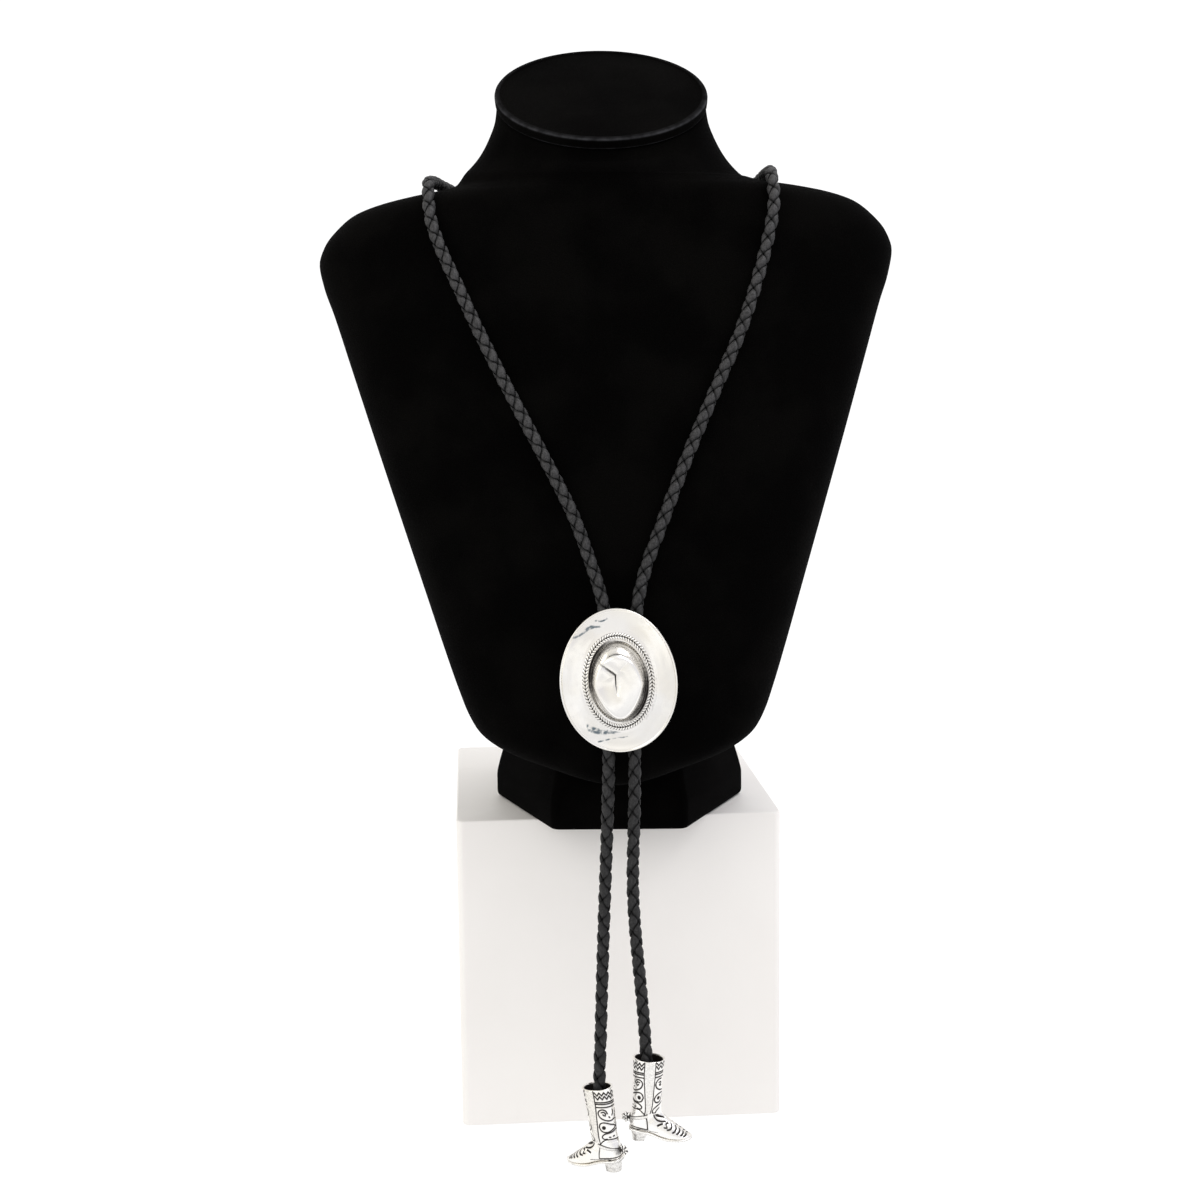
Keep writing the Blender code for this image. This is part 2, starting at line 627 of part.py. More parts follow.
def make_boot(name, end, turn, parts, cutters):
    """A boot tip: one casting, hung a little aslant with its socket over the cord's end."""
    shaft = loft_mesh(name, [shaft_ring(row) for row in rows(SHAFT_COLUMNS, SHAFT_TABLE)])
    boot = add_object(name, shaft, parts, SILVER)
    foot = loft_mesh("foot", [foot_ring(row) for row in rows(FOOT_COLUMNS, BOOT_FOOT_TABLE)])
    apply_boolean(boot, add_object("foot", foot, cutters), "UNION")
    first, second = rows(FOOT_COLUMNS, BOOT_FOOT_TABLE)[:2]
    heel_top = (first["sole"] + second["sole"]) / 2 * BOOT_HEIGHT + SOLE_EDGE / 2
    heel_back = first["place"] * BOOT_LENGTH
    heel = loft_mesh("heel", [heel_ring(heel_back, 0.0, HEEL_TAPER), heel_ring(heel_back, heel_top, 1.0)])
    apply_boolean(boot, add_object("heel", heel, cutters), "UNION")
    rod_place = (second["place"] * BOOT_LENGTH - SPUR_REACH / 2, 0.0, SPUR_HEIGHT)
    lying = Matrix.Rotation(math.radians(90.0), 4, "Y")
    rod = cylinder_mesh("rod", SPUR_ROD / 2, SPUR_REACH, 8, rod_place, lying)
    apply_boolean(boot, add_object("rod", rod, cutters), "UNION")
    star_place = (second["place"] * BOOT_LENGTH - SPUR_REACH, 0.0, SPUR_HEIGHT)
    apply_boolean(boot, add_object("star", rowel_mesh("star", star_place), cutters), "UNION")
    ring = shaft_ring({**rows(SHAFT_COLUMNS, SHAFT_TABLE)[-1], "relief": 0})
    centre = ring.mean(axis=0)
    inward = 1.0 - 2 * BOOT_WALL / BOOT_SHAFT, 1.0 - 2 * BOOT_WALL / BOOT_THICKNESS, 1.0
    hollow = [centre + (ring - centre) * inward + (0.0, 0.0, lift)
              for lift in (-BOOT_MOUTH_DEPTH, BOOT_MOUTH_DEPTH)]
    apply_boolean(boot, add_object("mouth", loft_mesh("mouth", hollow), cutters), "DIFFERENCE")
    bore = CORD_DIAMETER / 2 + GAP
    axis = BOOT_SOCKET_PLACE * BOOT_LENGTH
    socket_top = (axis, 0.0, BOOT_HEIGHT)
    socket = cylinder_mesh("socket", bore, 2 * BOOT_SOCKET_DEPTH, CLASP_SIDES, socket_top)
    apply_boolean(boot, add_object("socket", socket, cutters), "DIFFERENCE")
    boot.data.transform(Matrix.Translation((-axis, 0.0, BOOT_SOCKET_DEPTH - BOOT_HEIGHT - GAP)))
    boot.data.materials.clear()
    boot.data.materials.append(material(SILVER))
    smooth(boot.data, 30.0)
    boot.location = end
    boot.rotation_mode = "ZYX"
    boot.rotation_euler = (0.0, math.radians(-BOOT_LEAN), math.radians(turn))
    return boot


def main():
    """Build every piece."""
    clear_scene()
    parts = new_collection("bolo_tie")
    cutters = new_collection("cutters")
    make_box(parts)
    make_torso(parts)
    make_foot(parts, cutters)
    make_cap(parts)
    make_cord(parts)
    make_slide(parts)
    make_clasp(parts, cutters)
    make_boot("boot_left", CORD_ROUTE[0], BOOT_LEFT_TURN, parts, cutters)
    make_boot("boot_right", CORD_ROUTE[-1], BOOT_RIGHT_TURN, parts, cutters)


main()
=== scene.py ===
"""Looks of a bolo tie with a hat slide and boot tips, worn on a velvet neck bust on a painted box.

Units are metres, +Z is up and the bust faces -Y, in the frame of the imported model.
"""

import logging
import math
from dataclasses import dataclass, field
from enum import Enum

import bpy
import numpy as np
from mathutils import Matrix, Vector


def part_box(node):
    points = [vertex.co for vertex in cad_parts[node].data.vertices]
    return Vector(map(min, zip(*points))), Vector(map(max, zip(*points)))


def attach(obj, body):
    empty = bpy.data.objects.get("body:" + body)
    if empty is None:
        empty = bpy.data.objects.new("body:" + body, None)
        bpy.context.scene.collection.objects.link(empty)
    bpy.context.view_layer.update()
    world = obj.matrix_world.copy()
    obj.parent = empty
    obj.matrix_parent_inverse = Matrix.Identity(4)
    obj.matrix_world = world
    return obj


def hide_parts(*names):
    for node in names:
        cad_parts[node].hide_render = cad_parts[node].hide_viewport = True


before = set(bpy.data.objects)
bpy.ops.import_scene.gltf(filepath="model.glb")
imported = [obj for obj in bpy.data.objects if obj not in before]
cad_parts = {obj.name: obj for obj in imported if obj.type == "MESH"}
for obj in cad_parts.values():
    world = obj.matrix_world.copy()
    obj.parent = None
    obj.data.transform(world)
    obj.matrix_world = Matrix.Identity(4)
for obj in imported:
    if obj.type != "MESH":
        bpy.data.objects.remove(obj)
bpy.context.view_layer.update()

log = logging.getLogger("bolo_tie")

Array = np.ndarray
Point = tuple[float, float, float]
Line = tuple[tuple[float, float], ...]
Colour = tuple[float, float, float]
Rows = tuple[tuple[float, ...], ...]

BODY = "root"
MM = 0.001

# Sizes that several pieces share
BOX_HEIGHT = 0.126
BOX_OFFSET_X = -0.0055
CORD_DIAMETER = 0.005
BUST_HEIGHT = 0.302
BUST_WIDTH = 0.2245
BUST_DEPTH = 0.117
BUST_BACK_Y = 0.003
BUST_LEAN = 0.9
SHOULDER_TILT = 1.0
SHOULDER_LEVEL = 0.8

# Torso and neck, from the lower lip up: height, half width, front and back as shares of the bust's
# height, half width and depth; pitch in degrees; and the oval's exponent
TORSO_TABLE = (
    (0.0712, 0.036, 0.915, 0.812, 0, 2.4),
    (0.0762, 0.116, 0.940, 0.727, 0, 2.4),
    (0.0894, 0.241, 0.966, 0.590, 0, 2.4),
    (0.1060, 0.383, 0.983, 0.436, 0, 2.4),
    (0.1258, 0.468, 0.996, 0.350, 0, 2.4),
    (0.1490, 0.508, 1.000, 0.299, 0, 2.4),
    (0.1788, 0.539, 1.000, 0.265, 0, 2.4),
    (0.2285, 0.584, 0.991, 0.222, 0, 2.4),
    (0.2947, 0.641, 0.970, 0.171, 0, 2.4),
    (0.3940, 0.726, 0.932, 0.111, 0, 2.4),
    (0.4934, 0.811, 0.880, 0.060, 0, 2.4),
    (0.5927, 0.894, 0.821, 0.026, 0, 2.4),
    (0.6589, 0.949, 0.778, 0.009, 0, 2.4),
    (0.6954, 0.983, 0.748, 0.000, 0, 2.4),
    (0.7252, 0.998, 0.722, 0.000, 0, 2.4),
    (0.7483, 0.978, 0.705, 0.004, 0, 2.4),
    (0.7715, 0.927, 0.688, 0.009, 0, 2.4),
    (0.7881, 0.869, 0.679, 0.017, 0, 2.3),
    (0.7997, 0.784, 0.675, 0.026, 0, 2.2),
    (0.8079, 0.686, 0.671, 0.034, 0, 2.1),
    (0.8146, 0.583, 0.668, 0.043, 0, 2.0),
    (0.8205, 0.517, 0.667, 0.034, 0, 2.0),
    (0.8344, 0.472, 0.669, 0.037, 5, 2.0),
    (0.8543, 0.424, 0.669, 0.045, 12, 2.0),
    (0.8775, 0.388, 0.668, 0.053, 21, 2.0),
    (0.8974, 0.367, 0.670, 0.058, 29, 2.0),
    (0.9195, 0.358, 0.671, 0.064, 35, 2.0),
)

# Neck cap, from its underside up: share of the neck's top outline, and share of its thickness
CAP_TABLE = (
    (0.985, 0.00),
    (1.012, 0.14),
    (1.018, 0.80),
    (1.004, 0.97),
    (0.975, 1.00),
    (0.950, 0.90),
    (0.600, 0.98),
    (0.150, 1.00),
)

# Route of the cord's middle, from the left boot up round the neck and down to the right boot
CORD_ROUTE = (
    (-0.0080, -0.1182, 0.0273),
    (-0.0084, -0.1182, 0.0360),
    (-0.0077, -0.1182, 0.0560),
    (-0.0063, -0.1182, 0.0930),
    (-0.0038, -0.1182, 0.1520),
    (-0.0035, -0.1182, 0.1800),
    (-0.0035, -0.1182, 0.2020),
    (-0.0052, -0.1158, 0.2180),
    (-0.0111, -0.1102, 0.2369),
    (-0.0175, -0.1070, 0.2532),
    (-0.0448, -0.0935, 0.3055),
    (-0.0571, -0.0855, 0.3311),
    (-0.0675, -0.0766, 0.3549),
    (-0.0701, -0.0655, 0.3707),
    (-0.0700, -0.0480, 0.3742),
    (-0.0682, -0.0320, 0.3741),
    (-0.0647, -0.0160, 0.3728),
    (-0.0573, -0.0022, 0.3664),
    (-0.0364, 0.0042, 0.3559),
    (-0.0030, 0.0055, 0.3519),
    (0.0300, 0.0042, 0.3569),
    (0.0506, -0.0025, 0.3688),
    (0.0580, -0.0180, 0.3752),
    (0.0602, -0.0480, 0.3763),
    (0.0600, -0.0655, 0.3734),
    (0.0600, -0.0752, 0.3616),
    (0.0559, -0.0814, 0.3431),
    (0.0471, -0.0900, 0.3166),
    (0.0368, -0.0964, 0.2937),
    (0.0254, -0.1033, 0.2678),
    (0.0152, -0.1091, 0.2421),
    (0.0107, -0.1112, 0.2302),
    (0.0076, -0.1150, 0.2180),
    (0.0061, -0.1182, 0.2020),
    (0.0061, -0.1182, 0.1800),
    (0.0057, -0.1182, 0.1450),
    (0.0049, -0.1182, 0.1080),
    (0.0082, -0.1182, 0.0640),
    (0.0092, -0.1182, 0.0473),
    (0.0096, -0.1182, 0.0386),
)


class Slot(Enum):
    """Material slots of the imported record."""

    VELVET = "velvet"
    PAINT = "box_paint"
    LEATHER = "braided_leather"
    SILVER = "antique_silver"


class Socket:
    """A node's output, so that shader maths reads as plain Python."""

    def __init__(self, shader: "Shader", output: bpy.types.NodeSocket) -> None:
        """Keep the output and the shader it belongs to."""
        self.shader = shader
        self.output = output

    def __add__(self, other: "Socket | float") -> "Socket":
        """Sum of two values."""
        return self.shader.maths("ADD", self, other)

    def __sub__(self, other: "Socket | float") -> "Socket":
        """Difference of two values."""
        return self.shader.maths("SUBTRACT", self, other)

    def __rsub__(self, other: float) -> "Socket":
        """A number less this value."""
        return self.shader.maths("SUBTRACT", other, self)

    def __mul__(self, other: "Socket | float") -> "Socket":
        """Product of two values."""
        return self.shader.maths("MULTIPLY", self, other)

    __radd__ = __add__
    __rmul__ = __mul__


Input = Socket | float | tuple[float, ...]


class Shader:
    """The nodes of a material or a sky."""

    def __init__(self, owner: bpy.types.Material | bpy.types.World) -> None:
        """Give the owner its default nodes."""
        self.owner = owner
        owner.use_nodes = True
        self.nodes = owner.node_tree.nodes
        self.links = owner.node_tree.links

    def node(self, kind: str, output: str | int, inputs: dict[str | int, Input], **settings: str) -> Socket:
        """Add a node, choose its settings and then fill its sockets.

        Args:
            kind: The node's type, less the words that all of them share.
            output: Name or number of the output.
            inputs: Values or links, by socket name or number.
            settings: Attributes that are set before the sockets.

        Returns:
            The output.
        """
        made = self.nodes.new("ShaderNode" + kind)
        for name, value in settings.items():
            setattr(made, name, value)
        for name, value in inputs.items():
            self.fill(made.inputs[name], value)
        return Socket(self, made.outputs[output])

    def fill(self, target: bpy.types.NodeSocket, value: Input) -> None:
        """Link or set one socket."""
        if isinstance(value, Socket):
            self.links.new(value.output, target)
        else:
            target.default_value = value

    def maths(self, operation: str, first: Input, second: Input) -> Socket:
        """Work out one sum of two values."""
        return self.node("Math", 0, {0: first, 1: second}, operation=operation)

    def held(self, name: str) -> Socket:
        """Value that the mesh holds on its points under this name."""
        return self.node("Attribute", "Fac", {}, attribute_name=name)

    def axis(self, name: str, kind: str = "Object") -> Socket:
        """One axis of the coordinates."""
        return self.node("SeparateXYZ", name, {0: self.node("TexCoord", kind, {})})

    def place(self, stretch: Point = (1.0, 1.0, 1.0)) -> Socket:
        """Object coordinates, stretched by a factor on each axis."""
        where = self.node("TexCoord", "Object", {})
        return self.node("Mapping", "Vector", {"Vector": where, "Scale": stretch})

    def noise(self, scale: float, detail: float = 2.0, where: Socket | None = None) -> Socket:
        """Fractal noise on object coordinates.

        Args:
            scale: Cells in a metre.
            detail: Number of finer layers.
            where: Other coordinates, if any.

        Returns:
            The noise, about a half.
        """
        inputs = {"Vector": where or self.place(), "Scale": scale, "Detail": detail}
        return self.node("TexNoise", "Fac", inputs)

    def span(self, value: Socket, low: float, high: float, start: float = 0.0, end: float = 1.0) -> Socket:
        """Carry a value from low-high smoothly to start-end, and no further."""
        inputs = {"Value": value, "From Min": low, "From Max": high, "To Min": start, "To Max": end}
        return self.node("MapRange", "Result", inputs, interpolation_type="SMOOTHSTEP")

    def mix(self, share: Socket, first: Input, second: Input) -> Socket:
        """Mix two colours, whose sockets have these numbers."""
        first, second = (value if isinstance(value, Socket) else (*value, 1.0) for value in (first, second))
        return self.node("Mix", 2, {0: share, 6: first, 7: second}, data_type="RGBA")

    def bump(self, height: Socket, distance: float, strength: float) -> Socket:
        """Normal of a surface that a height raises by up to a distance."""
        return self.node("Bump", "Normal", {"Height": height, "Distance": distance, "Strength": strength})

    def surface(self, **inputs: Input) -> bpy.types.Material:
        """Fill the Principled shader's sockets, whose names are written with underscores."""
        for name, value in inputs.items():
            self.fill(self.nodes["Principled BSDF"].inputs[name.replace("_", " ")], value)
        return self.owner


@dataclass(frozen=True)
class VelvetFinish:
    """Black flocked velvet: almost no light back, but a thin sheen at the edges."""

    brushed: Colour = (0.0005, 0.0004, 0.0004)
    raised: Colour = (0.0022, 0.0020, 0.0018)
    sheen: float = 0.008
    sheen_roughness: float = 0.30
    # colour of the painted highlight on the cap's piping
    piping: Colour = (0.038, 0.038, 0.041)
    pile_scale: float = 2600.0
    brush_scale: float = 34.0

    def build(self) -> bpy.types.Material:
        """Make the velvet: brushed patches, and a painted highlight on the cap's piping, in the colour, and
        pile in the bump.
        """
        shader = Shader(bpy.data.materials.new("velvet_pile"))
        patches = shader.span(shader.noise(self.brush_scale, 4.0), 0.38, 0.66)
        pile = shader.noise(self.pile_scale, 3.0)
        tone = shader.mix(patches * 0.6 + shader.span(pile, 0.35, 0.7) * 0.4, self.brushed, self.raised)
        # painted highlight: the cap's piping at its rim and seam is lightened as if it caught the light,
        # broken up by noise
        worn = shader.held("piping") * (0.4 + 0.8 * shader.span(shader.noise(260.0, 3.0), 0.3, 0.7))
        return shader.surface(
            Base_Color=shader.mix(worn, tone, self.piping),
            Roughness=1.0,
            Specular_IOR_Level=0.02,
            Sheen_Weight=self.sheen,
            Sheen_Roughness=self.sheen_roughness,
            Sheen_Tint=(0.75, 0.75, 0.80, 1.0),
            Normal=shader.bump(pile, 0.0004, 0.55),
        )


@dataclass(frozen=True)
class PaintFinish:
    """Off-white satin paint, rolled on, with faint marks of use."""

    light: Colour = (0.845, 0.820, 0.795)
    worn: Colour = (0.800, 0.772, 0.745)
    roughness: float = 0.48

    def build(self) -> bpy.types.Material:
        """Make the paint: clouds and scuffs in the colour, orange peel in the bump."""
        shader = Shader(bpy.data.materials.new("rolled_paint"))
        clouds = shader.span(shader.noise(14.0, 5.0), 0.35, 0.75)
        scuffs = shader.span(shader.noise(90.0, 6.0, shader.place((1.0, 1.0, 0.25))), 0.60, 0.78)
        peel = shader.noise(900.0, 2.0)
        return shader.surface(
            Base_Color=shader.mix(clouds * 0.6 + scuffs * 0.3, self.light, self.worn),
            Roughness=self.roughness + scuffs * 0.18,
            Specular_IOR_Level=0.4,
            Normal=shader.bump(peel + scuffs * 0.3, 0.00006, 0.35),
        )


@dataclass(frozen=True)
class LeatherFinish:
    """Black dyed lace leather, matte, with a fine grain, painted shade in the crevices between laces and
    painted light on the crowns, which is stronger higher up, at the neck.
    """

    dye: Colour = (0.0028, 0.0028, 0.0030)
    # painted light: the colour of the lit crowns
    lit_crown: Colour = (0.0400, 0.0390, 0.0400)
    roughness: float = 0.60
    grain_scale: float = 1500.0
    # painted light from above: heights over which the cord grows lighter, and its shares there
    lit_heights: tuple[float, float] = (0.15, 0.32)
    lit_shares: tuple[float, float] = (0.52, 1.15)

    def build(self) -> bpy.types.Material:
        """Make the leather: crevices are painted dark as shade, crowns are painted lighter, more so higher up
        as if lit from above, and grain lies in the colour and the bump.
        """
        shader = Shader(bpy.data.materials.new("lace_leather"))
        # painted shade: the deeper a point lies between the laces, the darker
        crown = shader.span(shader.held("crown"), 0.62, 0.97)
        grain = shader.noise(self.grain_scale, 4.0)
        fibre = shader.noise(520.0, 3.0, shader.place((3.0, 3.0, 1.0)))
        # painted light from above: the cord is lighter higher up
        lit_from_above = shader.span(shader.axis("Z"), *self.lit_heights, *self.lit_shares)
        worn = 0.35 + 0.9 * shader.span(grain, 0.30, 0.72)
        tone = crown * worn * (0.55 + 0.7 * shader.span(fibre, 0.3, 0.7))
        return shader.surface(
            Base_Color=shader.mix(tone * lit_from_above, self.dye, self.lit_crown),
            Roughness=self.roughness + 0.22 * (1.0 - crown),
            Specular_IOR_Level=0.30,
            Normal=shader.bump(grain * 0.7 + fibre * 0.5, 0.00009, 0.8),
        )


@dataclass(frozen=True)
class SilverFinish:
    """Polished antique silver plate with dark patina left in whatever lies low, with some painted shade and
    painted dark reflections as well.
    """

    bright: Colour = (0.930, 0.915, 0.890)
    warm: Colour = (0.895, 0.865, 0.805)
    patina: Colour = (0.022, 0.018, 0.016)
    # colour of the painted dark reflections on the hat's brim
    dark_reflection: Colour = (0.150, 0.190, 0.215)
    roughness: float = 0.17

    def build(self) -> bpy.types.Material:
        """Make the silver: patina and painted shade by the mesh's held value, broken up by noise, painted
        dark reflections by another held value, and cast grain.
        """
        shader = Shader(bpy.data.materials.new("antique_silver_plate"))
        speckle = shader.noise(1400.0, 5.0)
        # patina, and painted shade under the boots' soles and on the counters behind the spurs
        dark = shader.span(shader.held("patina") + (speckle - 0.5) * 0.45, 0.22, 0.78)
        tone = shader.mix(shader.span(shader.noise(70.0, 3.0), 0.35, 0.70), self.bright, self.warm)
        # painted reflection: dark bluish marks on the brim that stand in for reflections of dark things round
        # it, broken by clouds
        cloud = shader.span(shader.noise(480.0, 4.0), 0.34, 0.62, 0.25, 1.0)
        dark_reflection = shader.span(shader.held("tarnish") * cloud + (speckle - 0.5) * 0.35, 0.12, 0.85)
        tone = shader.mix(dark_reflection, tone, self.dark_reflection)
        wear = shader.noise(420.0, 4.0)
        return shader.surface(
            Base_Color=shader.mix(dark, tone, self.patina),
            Metallic=1.0 - 0.35 * dark,
            Roughness=self.roughness + 0.10 * shader.span(wear, 0.4, 0.7) + 0.42 * dark,
            Normal=shader.bump(wear * 0.6 + speckle * 0.4, 0.00004, 0.28),
        )


@dataclass(frozen=True)
class StageFinish:
    """Plain pale sweep that is lit from below like a light table, dimmer in a strip before the box."""

    light: Colour = (0.16, 0.16, 0.16)
    dull: Colour = (0.14, 0.14, 0.14)
    strip_glow: Colour = (0.70, 0.70, 0.71)
    full_glow: Colour = (0.92, 0.92, 0.92)
    strip_back: tuple[float, float] = (-0.42, -0.16)
    strip_front: tuple[float, float] = (-1.05, -0.80)

    def build(self) -> bpy.types.Material:
        """Make the sweep's plain matte white, and its glow by the place in depth."""
        shader = Shader(bpy.data.materials.new("pale_sweep"))
        depth = shader.axis("Y")
        full = shader.span(depth, *self.strip_back) + shader.span(depth, *self.strip_front, 1.0, 0.0)
        return shader.surface(
            Base_Color=shader.mix(full, self.dull, self.light),
            Roughness=0.9,
            Specular_IOR_Level=0.1,
            Emission_Color=shader.mix(full, self.strip_glow, self.full_glow),
            Emission_Strength=1.0,
        )


@dataclass
class Shell:
    """A closed surface as numbers: its points, its faces and the values held on its points."""

    points: Array
    quads: Array
    triangles: Array
    held: dict[str, Array] = field(default_factory=dict)

    def outward(self) -> "Shell":
        """Turn the faces outwards: by the sign of the volume that they enclose."""
        faces = np.concatenate((self.quads[:, [0, 1, 2]], self.quads[:, [0, 2, 3]], self.triangles))
        a, b, c = np.moveaxis((self.points - self.points.mean(axis=0))[faces], 1, 0)
        if np.einsum("ij,ij->i", a, np.cross(b, c)).sum() < 0.0:
            self.quads = self.quads[:, ::-1]
            self.triangles = self.triangles[:, ::-1]
        return self

    def moved(self, matrix: Matrix) -> "Shell":
        """Carry every point through a matrix."""
        turn = np.array(matrix)
        self.points = self.points @ turn[:3, :3].T + turn[:3, 3]
        return self


def loft(rings: Array, looped: bool = False, **held: Array) -> Shell:
    """Close a surface over rings of equally many points.

    Ring i's point j is joined to its neighbours on the ring and on ring i + 1. Each end is a fan
    about the mean of its ring, or the last ring is joined to the first.

    Args:
        rings: Points by ring, by place round it, by axis.
        looped: Whether the rings come back to the first.
        held: Values of the same grid.

    Returns:
        The closed shell.
    """
    count, around = rings.shape[:2]
    held = {name: np.broadcast_to(values, (count, around)) for name, values in held.items()}
    index = np.arange(count * around).reshape(count, around)
    low, high = (index, np.roll(index, -1, 0)) if looped else (index[:-1], index[1:])
    quads = np.stack((low, np.roll(low, -1, 1), np.roll(high, -1, 1), high), axis=-1).reshape(-1, 4)
    points = rings.reshape(-1, 3)
    if looped:
        values = {name: v.reshape(-1) for name, v in held.items()}
        return Shell(points, quads, np.empty((0, 3), int), values).outward()
    first, last = index[0], index[-1]
    poles = np.full((2, around), count * around) + np.arange(2)[:, None]
    fans = np.concatenate((np.stack((np.roll(first, -1), first, poles[0]), axis=-1),
                           np.stack((last, np.roll(last, -1), poles[1]), axis=-1)))
    points = np.concatenate((points, rings[[0, -1]].mean(axis=1)))
    values = {name: np.concatenate((v.reshape(-1), v[[0, -1]].mean(axis=1))) for name, v in held.items()}
    return Shell(points, quads, fans, values).outward()


def joined(shells: list[Shell]) -> Shell:
    """Put shells together as one, each still closed."""
    starts = np.cumsum([0, *(len(s.points) for s in shells)])
    names = sorted({name for s in shells for name in s.held})
    return Shell(
        np.concatenate([s.points for s in shells]),
        np.concatenate([s.quads + start for s, start in zip(shells, starts)]),
        np.concatenate([s.triangles + start for s, start in zip(shells, starts)]),
        {name: np.concatenate([s.held.get(name, np.zeros(len(s.points))) for s in shells]) for name in names},
    )


def link_object(name: str, data: bpy.types.ID) -> bpy.types.Object:
    """Add an object to the scene."""
    made = bpy.data.objects.new(name, data)
    bpy.context.scene.collection.objects.link(made)
    return made


def make_piece(name: str, shell: Shell, finish: bpy.types.Material, slot: Slot, *nodes: str,
               sharp: float = 60.0) -> bpy.types.Object:
    """Turn a shell into a piece that rides on the body and stands for its nodes.

    Args:
        name: The piece's name.
        shell: Its surface.
        finish: Its material.
        slot: The record's slot; not used.
        nodes: CAD nodes that it stands for.
        sharp: Angle in degrees past which an edge is shaded sharp.

    Returns:
        The piece.
    """
    mesh = bpy.data.meshes.new(name)
    mesh.vertices.add(len(shell.points))
    mesh.vertices.foreach_set("co", shell.points.astype(np.float32).ravel())
    corners = np.concatenate((shell.quads.ravel(), shell.triangles.ravel())).astype(np.int32)
    quad_count, triangle_count = len(shell.quads), len(shell.triangles)
    starts = np.concatenate((np.arange(quad_count) * 4, quad_count * 4 + np.arange(triangle_count) * 3))
    mesh.loops.add(len(corners))
    mesh.loops.foreach_set("vertex_index", corners)
    mesh.polygons.add(quad_count + triangle_count)
    mesh.polygons.foreach_set("loop_start", starts.astype(np.int32))
    mesh.update(calc_edges=True)
    for held_name, values in shell.held.items():
        attribute = mesh.attributes.new(held_name, "FLOAT", "POINT")
        attribute.data.foreach_set("value", values.astype(np.float32))
    mesh.shade_smooth()
    mesh.set_sharp_from_angle(angle=math.radians(sharp))
    mesh.materials.append(finish)
    piece = link_object(name, mesh)
    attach(piece, BODY)
    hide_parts(*nodes)
    log.info("%s: %d triangles", name, 2 * quad_count + triangle_count)
    return piece


def travelled(points: Array) -> Array:
    """How far each point lies along the line of points."""
    return np.concatenate(([0.0], np.cumsum(np.linalg.norm(np.diff(points, axis=0), axis=1))))


def read_evenly(knots: Array, table: Array, count: int) -> Array:
    """Read a table's columns at even steps, smoothly between its rows and with no overshoot.

    Each stretch is a cubic whose slope at a row is the harmonic mean of the slopes on both sides of
    it, or zero where they differ in sign.

    Args:
        knots: Place of each row, rising.
        table: Rows by columns.
        count: How many places to read, from the first row to the last.

    Returns:
        One row of columns for each place.
    """
    wanted = np.linspace(knots[0], knots[-1], count)
    step = np.diff(knots)
    slope = np.diff(table, axis=0) / step[:, None]
    before, after = slope[:-1], slope[1:]
    agree = before * after > 0.0
    inner = np.where(agree, 2.0 * before * after / np.where(agree, before + after, 1.0), 0.0)
    tangent = np.concatenate((slope[:1], inner, slope[-1:]))
    row = np.clip(np.searchsorted(knots, wanted, side="right") - 1, 0, len(knots) - 2)
    width = step[row][:, None]
    t = (wanted - knots[row])[:, None] / width
    return ((1 + 2 * t) * (1 - t) ** 2 * table[row] + t * (1 - t) ** 2 * width * tangent[row]
            + t ** 2 * (3 - 2 * t) * table[row + 1] - t ** 2 * (1 - t) * width * tangent[row + 1])


def smooth_route(points: Array, count: int) -> Array:
    """Equally spaced points on a smooth curve through the given ones.

    Each stretch is a cubic Bezier curve whose handles are a third of its length, along the line
    between the neighbours of each end.

    Args:
        points: Given points, in two or three axes.
        count: How many points to read.

    Returns:
        The points read.
    """
    padded = np.concatenate((2 * points[:1] - points[1:2], points, 2 * points[-1:] - points[-2:-1]))
    before, start, end, after = padded[:-3], padded[1:-2], padded[2:-1], padded[3:]
    reach = np.linalg.norm(end - start, axis=1, keepdims=True) / 3
    out = start + unit(end - before) * reach
    back = end - unit(after - start) * reach
    t = np.linspace(0.0, 1.0, 41)[:-1, None]
    pieces = ((1 - t) ** 3 * start[:, None] + 3 * t * (1 - t) ** 2 * out[:, None]
              + 3 * t ** 2 * (1 - t) * back[:, None] + t ** 3 * end[:, None])
    dense = np.concatenate((pieces.reshape(-1, points.shape[1]), points[-1:]))
    travel = travelled(dense)
    wanted = np.linspace(0.0, travel[-1], count)
    return np.stack([np.interp(wanted, travel, column) for column in dense.T], axis=-1)


def unit(vectors: Array) -> Array:
    """Vectors of length one along the last axis."""
    return vectors / np.linalg.norm(vectors, axis=-1, keepdims=True)


def full_turn(count: int) -> Array:
    """Evenly spaced angles, once round."""
    return np.linspace(0.0, 2.0 * math.pi, count, endpoint=False)


def signed_power(values: Array, power: float | Array) -> Array:
    """Each value's size to a power, with its sign kept."""
    return np.sign(values) * np.abs(values) ** power


def bell(values: Array, middle: float, width: float) -> Array:
    """A hump that is 1 at its middle and nearly 0 at two widths from it."""
    return np.exp(-((values - middle) / width) ** 2)


def spread(*axes: Array) -> Array:
    """Points from their coordinates, each stretched over the same grid."""
    return np.stack(np.broadcast_arrays(*axes), axis=-1)


def turned(degrees: float, axis: str) -> Matrix:
    """A turn about an axis."""
    return Matrix.Rotation(math.radians(degrees), 4, axis)


